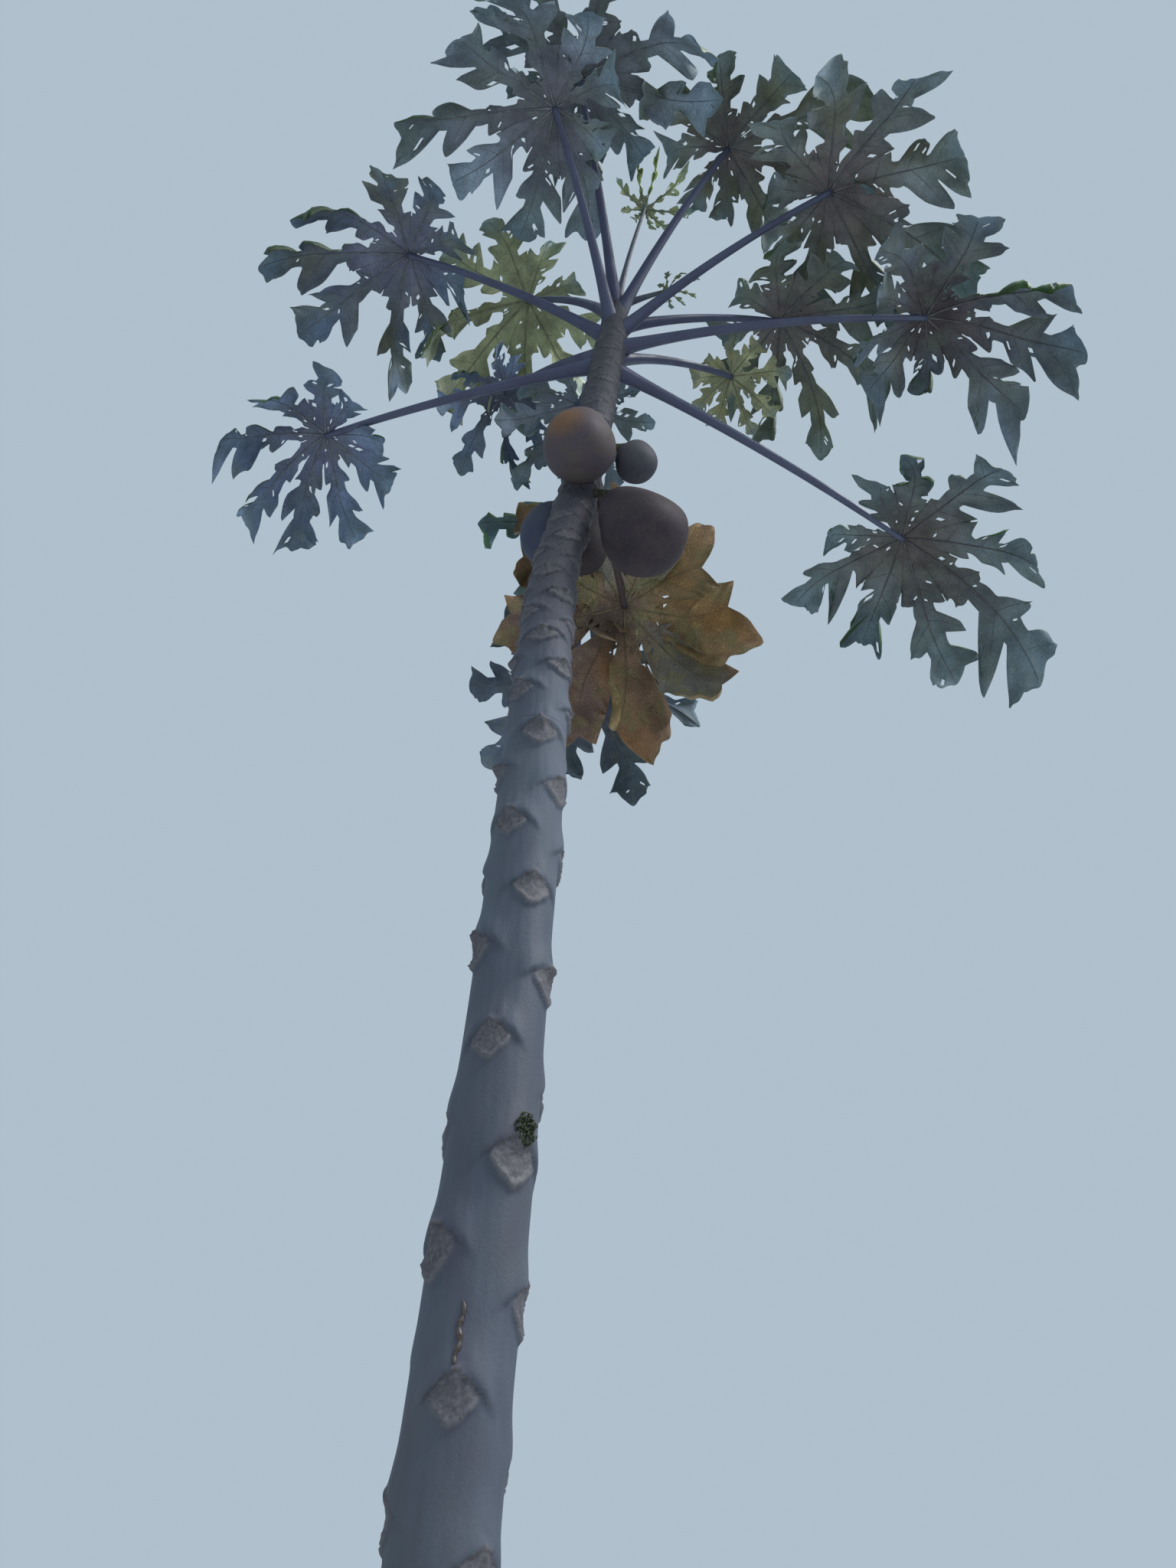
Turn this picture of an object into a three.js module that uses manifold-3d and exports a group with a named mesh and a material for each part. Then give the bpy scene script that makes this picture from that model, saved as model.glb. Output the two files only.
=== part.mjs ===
import * as THREE from "three";
import { mergeVertices } from "three/addons/utils/BufferGeometryUtils.js";
import Module from "manifold-3d";

// A papaya tree in fruit: one bare trunk with a slight lean, long leaf stalks that spread from its top,
// a deeply cut blade at the end of each stalk, and fruit hung close to the trunk under the crown.
// Millimetres, +Z up. The foot of the trunk is cut flat on z = 0 and centred on the origin.
// Bearings are turned about +Z: 0 looks along -Y, and 90 looks along +X.

const CLEAR = 0.3; // air between one sub-part and the next
const BLADE_CLEAR = 2.5; // air where two blades pass each other

// Trunk: height and sideways place of its core line, then height and radius.
const TRUNK_LEAN = [
  [0, 0], [1690, 6], [2175, 19], [2700, 27], [3240, 33], [3500, 67], [3855, 98], [4125, 120], [4290, 127],
];
const TRUNK_GIRTH = [
  [0, 112], [70, 90], [200, 73], [500, 65], [1000, 61], [2000, 59], [2420, 53], [2700, 52], [3190, 44],
  [3410, 40], [3860, 36], [4100, 33], [4220, 27], [4290, 11],
];
const TRUNK_SIDES = 20;
const TRUNK_STEPS = 32;
const TRUNK_CROWDING = 1.25; // above 1, the levels lie closer together in the root flare
const BUD_HEIGHT = 8; // the blunt cone that closes the trunk's tip

// Stalks: swollen at the root, tapering to the blade.
const STALK_ROOT = 12.5;
const STALK_TIP = 7;
const STALK_SWELL = 0.5; // extra share of the radius at the root
const STALK_SWELL_START = 40; // along the stalk from the trunk's core line
const STALK_SWELL_RUN = 60;
const STALK_OVERRUN = 3; // how far a stalk runs on into the blade that is notched around it
const STALK_SIDES = 7;
const STALK_STEPS = 5;
const YOUNG_STALK = 0.55; // share of a grown stalk's radius

// Blades: nine lobes fanned about the stalk's end, each with two pairs of side lobes.
// Lobe edges are shares of the lobe's length along its rib, then of the blade's reach to its side.
const LOBE_SHARES = [0.4, 0.64, 0.84, 0.96, 1, 0.96, 0.84, 0.64, 0.4];
const LOBE_STEP = 38; // degrees from one lobe to the next
const LOBE_LIMIT = 172; // no lobe turns further back than this towards its own stalk
const LOBE_EDGE = [[0.36, 0.075], [0.5, 0.165], [0.54, 0.085], [0.73, 0.19], [0.75, 0.07]];
const LOBE_WIDTH = { least: 0.55, byLength: 0.45 }; // a short lobe is narrower than a long one
const SLIT = 3; // half the narrowest space between two lobes
const NOTCH = 4; // how far the blade's edge passes behind its stalk's end
const CUP = 4; // degrees that a blade already slopes away at its centre
const KINDS = {
  green: { width: 1, web: 0.24, thick: 8 },
  yellow: { width: 1.3, web: 0.42, thick: 8 },
  young: { width: 0.7, web: 0.16, thick: 4 },
};

// How far one lobe may differ from the next.
const TURN_SPREAD = 5;
const REACH_SPREAD = [0.9, 1.08];
const DROOP_SPREAD = [0.6, 1.4];
const SWEEP_SPREAD = 14;

// Lobes that the photo shows longer or shorter than the spread makes them: leaf, then lobe and share.
const LOBE_CHANGES = {
  "03": { 6: 0.7, 7: 0.8 },
  "05": { 2: 0.8, 3: 0.7, 6: 0.8, 7: 0.65 },
  "07": { 2: 0.8, 3: 0.7, 5: 0.65 },
  "08": { 4: 0.82 },
  "11": { 5: 0.82, 6: 0.55, 7: 0.85 },
  "12": { 5: 0.7, 6: 0.7, 7: 0.8 },
  "13": { 3: 0.85 },
  "14": { 3: 0.8, 5: 0.92, 6: 0.7 },
  "16": { 5: 0.5, 6: 1.2 },
  "17": { 0: 1.9, 1: 1.4, 7: 1.4, 8: 1.9 },
  "18": { 2: 0.87 },
  "19": { 4: 0.75 },
};

// The leaves from the youngest down: name, height of the stalk's root, its bearing, its rise at the root
// and at the blade, its length, then the blade's heading, dip, reach, droop, seed and kind.
const LEAVES = [
  ["01", 4250, 42.1, 82.5, 70.5, 350, 20, -50, 140, 55, 6, "young"],
  ["02", 4240, 85.8, 36.2, 26.2, 120, 60, -30, 70, 55, 17, "young"],
  ["03", 4210, -19.7, 65.4, 41.4, 570, 55, 2, 420, 38, 5, "green"],
  ["04", 4180, -123.9, 66.7, 36.7, 420, -132, 24, 370, 36, 3, "green"],
  ["05", 4170, 53.2, 66.6, 48.6, 570, 62, 2, 380, 36, 7, "green"],
  ["06", 4140, 106, 45.6, 21.6, 500, 100, 12, 380, 50, 10, "green"],
  ["07", 4120, -26.9, 60, 38, 520, -90, 0, 410, 36, 4, "green"],
  ["08", 4100, 70.7, 48.2, 26.2, 640, 65, 4, 420, 38, 8, "green"],
  ["09", 4090, -89.1, 43.8, 21.8, 580, -84, 6, 360, 38, 1, "green"],
  ["10", 4035, -138.9, 48.6, 24.6, 470, -135, 26, 250, 50, 19, "green"],
  ["11", 4050, 87.3, 24.7, -1.3, 720, 88, 4, 390, 40, 9, "green"],
  ["12", 4000, 123.9, 52.5, 26.5, 460, 150, 30, 200, 50, 18, "green"],
  ["13", 3990, -104.1, -0.6, -16.6, 630, -115, 20, 310, 55, 2, "green"],
  ["14", 3980, 111.6, -7, -23, 750, 112, 18, 440, 40, 11, "green"],
  ["15", 3930, -167.7, 60, 38, 430, -178, 22, 280, 45, 12, "green"],
  ["16", 3840, -172.2, 26.5, 2.5, 420, -150, 10, 250, 45, 16, "green"],
  ["17", 3760, 178.7, 26.2, 0.2, 450, -176, 50, 230, 50, 14, "yellow"],
  ["18", 3640, 168, 21.5, -4.5, 450, 172, 44, 330, 24, 13, "yellow"],
  ["19", 3700, -178.8, 15.4, -8.6, 700, -172, 46, 390, 50, 15, "green"],
].map(([name, height, bearing, rise, endRise, length, heading, dip, reach, droop, seed, kind]) => ({
  name, height, bearing, rise, endRise, length, heading, dip, reach, droop, seed, kind,
}));

// name, centre, half width, half length, height of the stem's root on the trunk, colour
const FRUIT = [
  ["fruit_1", [65, -100, 3537], 70, 81, 3690, "ripe"],
  ["fruit_2", [178, -60, 3546], 41, 46, 3640, "unripe"],
  ["fruit_3", [197, -45, 3356], 81, 96, 3500, "unripe"],
  ["fruit_4", [19, 80, 3482], 66, 74, 3640, "unripe"],
  ["fruit_5", [79, 181, 3595], 55, 93, 3580, "unripe"],
].map(([name, centre, halfWidth, halfLength, stemHeight, colour]) => ({
  name, centre, halfWidth, halfLength, stemHeight, colour,
}));
const FRUIT_BULGE = 0.12; // how much fuller the lower half is
const FRUIT_SIDES = 16;
const FRUIT_STEPS = 10;
const STEM_RADIUS = 8;
const STEM_SPREAD = 1.2; // the stem is this much thicker at the trunk
const STEM_SUNK = 12; // how far the stem's end lies inside the fruit
const STEM_SIDES = 8;

// Colour and roughness.
const COLOURS = {
  trunk: [0x83867e, 0.85],
  stalk: [0x4a4750, 0.6],
  green: [0x2f4a2c, 0.65],
  yellow: [0xc98a2a, 0.7],
  young: [0x8fa552, 0.6],
  ripe: [0x8d8b4c, 0.45],
  unripe: [0x4d564c, 0.45],
};

const WELD = 1e-3; // points closer than this are one point
const MATCH = 0.01; // how near a flat blade's point lies to its own outline point

const wasm = await Module();
wasm.setup();

const radians = THREE.MathUtils.degToRad;
const degrees = THREE.MathUtils.radToDeg;

// A repeatable number between low and high for each key.
function draw(key, low, high) {
  const x = Math.sin(key * 12.9898) * 43758.5453;
  return low + (high - low) * (x - Math.floor(x));
}

// The direction with this bearing and rise, both in degrees.
function direction(bearing, rise) {
  const turn = radians(bearing);
  const lift = radians(rise);
  return new THREE.Vector3(
    Math.sin(turn) * Math.cos(lift),
    -Math.cos(turn) * Math.cos(lift),
    Math.sin(lift),
  );
}

// A smooth curve through rows of [place, value], read at one place.
function track(rows, at) {
  const last = rows.length - 1;
  let i = 0;
  while (i < last - 1 && at > rows[i + 1][0]) i += 1;
  const slope = (k) => {
    const a = rows[Math.max(k - 1, 0)];
    const b = rows[Math.min(k + 1, last)];
    return (b[1] - a[1]) / (b[0] - a[0]);
  };
  const span = rows[i + 1][0] - rows[i][0];
  const t = THREE.MathUtils.clamp((at - rows[i][0]) / span, 0, 1);
  const start = (2 * t ** 3 - 3 * t ** 2 + 1) * rows[i][1] + (t ** 3 - 2 * t ** 2 + t) * span * slope(i);
  const end = (3 * t ** 2 - 2 * t ** 3) * rows[i + 1][1] + (t ** 3 - t ** 2) * span * slope(i + 1);
  return start + end;
}

const trunkPlace = (height) => new THREE.Vector3(track(TRUNK_LEAN, height), 0, height);
const trunkRadius = (height) => track(TRUNK_GIRTH, height);

// A closed geometry as a solid that can be cut.
function solid(geometry) {
  geometry.deleteAttribute("normal");
  geometry.deleteAttribute("uv");
  const merged = mergeVertices(geometry, WELD);
  return new wasm.Manifold(
    new wasm.Mesh({
      numProp: 3,
      vertProperties: merged.attributes.position.array,
      triVerts: new Uint32Array(merged.index.array),
    }),
  );
}

// Moves every point of a geometry to move(x, y, z).
function reshape(geometry, move) {
  const position = geometry.attributes.position;
  for (let i = 0; i < position.count; i += 1) {
    const to = move(position.getX(i), position.getY(i), position.getZ(i));
    position.setXYZ(i, to.x, to.y, to.z);
  }
  return geometry;
}

// The trunk is turned about its own axis, then each level slides sideways to the core line.
function trunk(grow) {
  const top = TRUNK_GIRTH.at(-1)[0];
  const profile = [new THREE.Vector2(0, 0)];
  for (let i = 0; i <= TRUNK_STEPS; i += 1) {
    const height = top * (i / TRUNK_STEPS) ** TRUNK_CROWDING;
    profile.push(new THREE.Vector2(trunkRadius(height) + grow, height));
  }
  profile.push(new THREE.Vector2(0, top + BUD_HEIGHT + grow));
  const turned = new THREE.LatheGeometry(profile, TRUNK_SIDES);
  return solid(reshape(turned, (x, y, z) => new THREE.Vector3(trunkPlace(y).x + x, -z, y)));
}

// A fruit is an egg hung by a short stem from the trunk above it.
function fruit({ centre, halfWidth, halfLength, stemHeight }, grow) {
  const profile = [];
  for (let i = 0; i <= FRUIT_STEPS; i += 1) {
    const t = Math.PI * (i / FRUIT_STEPS);
    const wide = halfWidth * (1 + FRUIT_BULGE * Math.cos(t)) + grow;
    const onAxis = i === 0 || i === FRUIT_STEPS;
    profile.push(new THREE.Vector2(onAxis ? 0 : wide * Math.sin(t), -(halfLength + grow) * Math.cos(t)));
  }
  const egg = new THREE.LatheGeometry(profile, FRUIT_SIDES).rotateX(Math.PI / 2).translate(...centre);
  const root = trunkPlace(stemHeight);
  const top = new THREE.Vector3(...centre);
  top.z += halfLength - STEM_SUNK;
  const run = top.sub(root);
  const thick = STEM_RADIUS + grow;
  const stem = new THREE.CylinderGeometry(thick, thick * STEM_SPREAD, run.length(), STEM_SIDES);
  stem.translate(0, run.length() / 2, 0);
  stem.applyQuaternion(new THREE.Quaternion().setFromUnitVectors(
    new THREE.Vector3(0, 1, 0),
    run.clone().normalize(),
  ));
  stem.translate(root.x, root.y, root.z);
  return solid(egg).add(solid(stem));
}

const stalkLength = (leaf) => leaf.length + trunkRadius(leaf.height);

// Where a stalk is, and where it points, at a share t of its length: it bows evenly in one upright plane.
function stalkAt(leaf, t) {
  const from = radians(leaf.rise);
  const turn = radians(leaf.endRise - leaf.rise);
  const now = from + turn * t;
  const size = stalkLength(leaf) / turn;
  const place = trunkPlace(leaf.height);
  place.addScaledVector(direction(leaf.bearing, 0), size * (Math.sin(now) - Math.sin(from)));
  place.z += size * (Math.cos(from) - Math.cos(now));
  return { place, along: direction(leaf.bearing, degrees(now)) };
}

function stalkRadius(leaf, reached) {
  const taper = STALK_ROOT + (STALK_TIP - STALK_ROOT) * (reached / stalkLength(leaf));
  const past = Math.max(reached - STALK_SWELL_START, 0);
  const swell = 1 + STALK_SWELL * Math.exp(-past / STALK_SWELL_RUN);
  return taper * swell * (leaf.kind === "young" ? YOUNG_STALK : 1);
}

// A stalk is a straight rod bent to its own curve.
function stalk(leaf, grow) {
  const run = stalkLength(leaf) + STALK_OVERRUN + grow;
  const rod = new THREE.CylinderGeometry(1, 1, run, STALK_SIDES, STALK_STEPS);
  const side = direction(leaf.bearing + 90, 0);
  return solid(reshape(rod, (x, y, z) => {
    const reached = run / 2 - y;
    const { place, along } = stalkAt(leaf, reached / stalkLength(leaf));
    const over = along.clone().cross(side);
    const radius = stalkRadius(leaf, reached) + grow;
    return place.addScaledVector(side, x * radius).addScaledVector(over, z * radius);
  }));
}

// The lobes of one blade: which way each points, how far it reaches, how it droops and sweeps aside,
// and the sector that it keeps to.
function lobesOf(leaf) {
  const middle = (LOBE_SHARES.length - 1) / 2;
  const lobes = LOBE_SHARES.map((share, k) => {
    const key = leaf.seed * 17 + k;
    const change = LOBE_CHANGES[leaf.name]?.[k] ?? 1;
    return {
      share,
      angle: radians((k - middle) * LOBE_STEP + draw(key, -TURN_SPREAD, TURN_SPREAD)),
      reach: leaf.reach * share * draw(key + 0.3, ...REACH_SPREAD) * change,
      droop: leaf.droop * draw(key + 0.5, ...DROOP_SPREAD),
      sweep: radians(draw(key + 0.7, -SWEEP_SPREAD, SWEEP_SPREAD)),
    };
  });
  lobes.forEach((lobe, k) => {
    lobe.low = k ? (lobes[k - 1].angle + lobe.angle) / 2 : -radians(LOBE_LIMIT);
    lobe.high = k < lobes.length - 1 ? (lobe.angle + lobes[k + 1].angle) / 2 : radians(LOBE_LIMIT);
  });
  return lobes;
}

const polar = (far, angle) => new THREE.Vector2(far * Math.cos(angle), far * Math.sin(angle));

// A point x along a lobe's rib and w to its left, kept inside the lobe's own sector.
function lobePoint(leaf, lobe, x, w, grow) {
  const aside = w + (lobe.sweep / 2) * leaf.reach * (x / leaf.reach) ** 2;
  const far = Math.hypot(x, aside);
  const angle = lobe.angle + Math.atan2(aside, x);
  const least = lobe.low + (SLIT - grow) / far;
  const most = lobe.high - (SLIT - grow) / far;
  return polar(far, THREE.MathUtils.clamp(angle, least, most));
}

// The blade's outline while it is still flat: up one edge of each lobe and down the other.
// A grown outline has the same points, each far enough out to clear the edges that meet there.
function outline(leaf, lobes, grow) {
  const kind = KINDS[leaf.kind];
  const points = [];
  lobes.forEach((lobe, k) => {
    const width = leaf.reach * kind.width * (LOBE_WIDTH.least + LOBE_WIDTH.byLength * lobe.share);
    const edge = (sign) => LOBE_EDGE.map(([x, w]) =>
      lobePoint(leaf, lobe, x * lobe.reach + grow / 2, sign * (w * width + grow), grow));
    if (k) points.push(polar(kind.web * leaf.reach + 3 * grow, lobe.low));
    points.push(...edge(-1), lobePoint(leaf, lobe, lobe.reach + 2 * grow, 0, grow), ...edge(1).reverse());
  });
  points.push(new THREE.Vector2(-NOTCH - 5 * grow, 0));
  return points;
}

// The droop of the blade in one direction, shared between the lobes on either side.
function droopAt(lobes, angle) {
  const k = lobes.findIndex((lobe) => angle <= lobe.angle);
  if (k <= 0) return k < 0 ? lobes.at(-1).droop : lobes[0].droop;
  const share = (angle - lobes[k - 1].angle) / (lobes[k].angle - lobes[k - 1].angle);
  return THREE.MathUtils.lerp(lobes[k - 1].droop, lobes[k].droop, share);
}

// A blade is a flat cut-out bent down along every rib, set at its stalk's end.
function blade(leaf, grow) {
  const lobes = lobesOf(leaf);
  const thick = KINDS[leaf.kind].thick;
  const end = stalkAt(leaf, 1).place;
  const ahead = direction(leaf.heading, -leaf.dip);
  const up = direction(leaf.heading, 90 - leaf.dip);
  const left = up.clone().cross(ahead);
  const cut = outline(leaf, lobes, 0);
  const wide = outline(leaf, lobes, grow);
  const start = radians(CUP);
  const flat = new THREE.ExtrudeGeometry(new THREE.Shape(cut), { depth: thick, bevelEnabled: false });
  return solid(reshape(flat, (x, y, z) => {
    const to = wide[cut.findIndex((p) => Math.hypot(p.x - x, p.y - y) < MATCH)];
    const far = to.length();
    const angle = Math.atan2(to.y, to.x);
    const bend = radians(droopAt(lobes, angle)) / leaf.reach;
    const out = (Math.sin(start + bend * far) - Math.sin(start)) / bend;
    const drop = (Math.cos(start) - Math.cos(start + bend * far)) / bend;
    const level = z > 0 ? thick + grow : -grow;
    return end.clone()
      .addScaledVector(ahead, out * Math.cos(angle))
      .addScaledVector(left, out * Math.sin(angle))
      .addScaledVector(up, level - drop);
  }));
}

function boxesMeet(a, b) {
  const p = a.boundingBox();
  const q = b.boundingBox();
  return [0, 1, 2].every((i) => p.min[i] <= q.max[i] && q.min[i] <= p.max[i]);
}

// Cuts away what would come too close to the neighbours, and keeps the one main body that is left.
function trim(body, neighbours) {
  const left = neighbours.reduce((rest, near) => (boxesMeet(rest, near) ? rest.subtract(near) : rest), body);
  return left.decompose().reduce((a, b) => (b.volume() > a.volume() ? b : a));
}

const tree = new THREE.Group();
const standing = []; // what is already in place, each grown by the air that it keeps

function addMesh(name, body, [colour, roughness]) {
  const made = body.getMesh();
  const points = new Float32Array(made.numVert * 3);
  for (let i = 0; i < made.numVert; i += 1) {
    points.set(made.vertProperties.subarray(i * made.numProp, i * made.numProp + 3), i * 3);
  }
  const geometry = new THREE.BufferGeometry();
  geometry.setAttribute("position", new THREE.BufferAttribute(points, 3));
  geometry.setIndex(new THREE.BufferAttribute(made.triVerts, 1));
  geometry.computeVertexNormals();
  const material = new THREE.MeshStandardMaterial({ color: colour, roughness, metalness: 0 });
  const mesh = new THREE.Mesh(geometry, material);
  mesh.name = name;
  tree.add(mesh);
}

addMesh("trunk", trunk(0), COLOURS.trunk);
standing.push(trunk(CLEAR));

for (const each of FRUIT) {
  addMesh(each.name, trim(fruit(each, 0), standing), COLOURS[each.colour]);
  standing.push(fruit(each, CLEAR));
}

for (const leaf of LEAVES) {
  addMesh(`stalk_${leaf.name}`, trim(stalk(leaf, 0), standing), COLOURS.stalk);
  standing.push(stalk(leaf, CLEAR));
}

for (const leaf of LEAVES) {
  addMesh(`leaf_${leaf.name}`, trim(blade(leaf, 0), standing), COLOURS[leaf.kind]);
  standing.push(blade(leaf, BLADE_CLEAR));
}

export default tree;
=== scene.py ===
# %% [markdown]
# # A papaya tree in fruit
# The tree is one bare trunk that leans a little, ringed with the scars of fallen leaves. Long hollow
# stalks spread from its top, each with one deeply cut blade, and the fruit hangs close to the trunk.
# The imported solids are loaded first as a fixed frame. Every finer piece below is made in that frame,
# by the rule that the solids follow, written again here in metres.

import math

import bpy
import numpy as np
from mathutils import Matrix, Vector


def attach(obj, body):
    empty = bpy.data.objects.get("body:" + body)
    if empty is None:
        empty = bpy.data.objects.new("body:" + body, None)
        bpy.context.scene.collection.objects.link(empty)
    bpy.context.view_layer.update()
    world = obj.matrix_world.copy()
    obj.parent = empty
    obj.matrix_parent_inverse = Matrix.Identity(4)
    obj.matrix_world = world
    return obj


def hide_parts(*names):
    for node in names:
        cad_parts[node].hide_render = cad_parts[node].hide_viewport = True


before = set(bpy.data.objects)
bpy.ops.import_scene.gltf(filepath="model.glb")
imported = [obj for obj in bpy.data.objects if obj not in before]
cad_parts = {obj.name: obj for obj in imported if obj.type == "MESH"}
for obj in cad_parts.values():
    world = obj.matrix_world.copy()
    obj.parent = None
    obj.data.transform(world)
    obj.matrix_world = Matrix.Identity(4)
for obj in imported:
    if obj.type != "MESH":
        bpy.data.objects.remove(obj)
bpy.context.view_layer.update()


# %% [markdown]
# ## The camera
# The picture was taken from eye height, close to the trunk and looking steeply up, so the crown is seen
# from below. The lens is set for a frame of 1536 by 2048. The slight roll makes upright things lean.
# A camera looks along its own -Z, so its three axes are worked out and put in its matrix.

# %% Camera
EYE = (0.116, -1.5, 1.5)
PITCH = math.radians(40)
ROLL = math.radians(3)
LENS = 28.125  # millimetres, on a sensor 36 mm high


def make_camera():
    ahead = np.array([0, math.cos(PITCH), math.sin(PITCH)])
    over = np.array([0, -math.sin(PITCH), math.cos(PITCH)])
    across = np.array([1, 0, 0])
    right = math.cos(ROLL) * across + math.sin(ROLL) * over
    top = math.cos(ROLL) * over - math.sin(ROLL) * across
    data = bpy.data.cameras.new("camera")
    data.lens = LENS
    camera = bpy.data.objects.new("camera", data)
    bpy.context.scene.collection.objects.link(camera)
    turned = np.eye(4)
    turned[:3, 0] = right
    turned[:3, 1] = top
    turned[:3, 2] = -ahead
    turned[:3, 3] = EYE
    camera.matrix_world = Matrix(turned.tolist())
    bpy.context.scene.camera = camera


make_camera()
print("camera at", EYE, "with a lens of", LENS, "mm")


# %% [markdown]
# ## Light and floor
# The day is overcast, so the light comes softly from everywhere. A plain pale blue-grey world does that.
# It grows dimmer below the horizon, where a real garden would be dark. One wide, weak lamp on the right
# gives the trunk its paler side. The floor is a plain pale disc.

# %% World, lamp and floor
SKY = (0.434, 0.527, 0.61)
SKY_RISE = (-0.3, 0.02)  # heights between which the sky grows from its brightness below to full
SKY_BELOW = 0.5
LAMP_PLACE = (3.6, -1.4, 7.6)
LAMP_AIM = (0, 0, 2.5)
LAMP_SIZE = 4.0
LAMP_WATTS = 420
FLOOR_RADIUS = 9.0
FLOOR_COLOUR = (0.62, 0.62, 0.60, 1)
FLOOR_ROUGHNESS = 0.9


def make_world():
    world = bpy.data.worlds.new("overcast")
    world.use_nodes = True
    nodes, links = world.node_tree.nodes, world.node_tree.links
    backdrop = nodes["Background"]
    backdrop.inputs["Color"].default_value = (*SKY, 1)
    place = nodes.new("ShaderNodeTexCoord")
    axes = nodes.new("ShaderNodeSeparateXYZ")
    shade = nodes.new("ShaderNodeMapRange")
    shade.inputs["From Min"].default_value = SKY_RISE[0]
    shade.inputs["From Max"].default_value = SKY_RISE[1]
    shade.inputs["To Min"].default_value = SKY_BELOW
    shade.inputs["To Max"].default_value = 1.0
    links.new(place.outputs["Generated"], axes.inputs[0])
    links.new(axes.outputs["Z"], shade.inputs["Value"])
    links.new(shade.outputs["Result"], backdrop.inputs["Strength"])
    bpy.context.scene.world = world
    bpy.context.scene.view_settings.view_transform = "Standard"


def make_lamp():
    data = bpy.data.lights.new("lamp", "AREA")
    data.shape = "DISK"
    data.size = LAMP_SIZE
    data.energy = LAMP_WATTS
    lamp = bpy.data.objects.new("lamp", data)
    bpy.context.scene.collection.objects.link(lamp)
    lamp.location = LAMP_PLACE
    aim = Vector(LAMP_AIM) - Vector(LAMP_PLACE)
    lamp.rotation_euler = aim.to_track_quat("-Z", "Y").to_euler()
    lamp.visible_camera = False


def make_floor():
    bpy.ops.object.select_all(action="DESELECT")
    bpy.ops.mesh.primitive_circle_add(vertices=96, radius=FLOOR_RADIUS, fill_type="NGON")
    floor = bpy.context.object
    floor.name = "floor"
    paint = bpy.data.materials.new("floor_paint")
    paint.use_nodes = True
    shader = paint.node_tree.nodes["Principled BSDF"]
    shader.inputs["Base Color"].default_value = FLOOR_COLOUR
    shader.inputs["Roughness"].default_value = FLOOR_ROUGHNESS
    floor.data.materials.append(paint)


make_world()
make_lamp()
make_floor()
print("light and floor are set")


# %% [markdown]
# ## Small tools
# A tree has far too many small forms to push by hand, so most of its meshes are made from arrays of
# points. These few helpers draw repeatable numbers, turn bearings into directions, read smooth curves
# through named values and blend one thing into another. Bearings turn about +Z: 0 looks along -Y.

# %% Helpers for numbers and curves
def draw(key, low, high):
    """A repeatable number between low and high for each key."""
    x = math.sin(key * 12.9898) * 43758.5453
    return low + (high - low) * (x - math.floor(x))


def direction(bearing, rise):
    """The direction with this bearing and rise, both in degrees."""
    turn = math.radians(bearing)
    lift = math.radians(rise)
    return np.array([
        math.sin(turn) * math.cos(lift),
        -math.cos(turn) * math.cos(lift),
        math.sin(lift),
    ])


def track(rows, at):
    """A smooth curve through rows of (place, value), read at many places at once."""
    rows = np.array(rows, float)
    place, value = rows[:, 0], rows[:, 1]
    last = len(rows) - 1
    before = np.maximum(np.arange(last + 1) - 1, 0)
    after = np.minimum(np.arange(last + 1) + 1, last)
    slope = (value[after] - value[before]) / (place[after] - place[before])
    at = np.asarray(at, float)
    i = np.clip(np.searchsorted(place, at, side="left") - 1, 0, last - 1)
    span = place[i + 1] - place[i]
    t = np.clip((at - place[i]) / span, 0, 1)
    start = (2 * t**3 - 3 * t**2 + 1) * value[i] + (t**3 - 2 * t**2 + t) * span * slope[i]
    end = (3 * t**2 - 2 * t**3) * value[i + 1] + (t**3 - t**2) * span * slope[i + 1]
    return start + end


def ramp(x, low, high):
    """0 below low, 1 above high, and a smooth step between them."""
    t = np.clip((x - low) / (high - low), 0, 1)
    return t * t * (3 - 2 * t)


def bell(x, middle, width):
    """1 in the middle, falling softly to 0 on both sides."""
    return np.exp(-(((x - middle) / width) ** 2))


def blended(first, second, share):
    """The first where the share is 0, the second where it is 1, and a mixture between."""
    return first * (1 - share) + second * share


print("the number drawn for key 1:", round(draw(1, 0, 1), 3))
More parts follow.
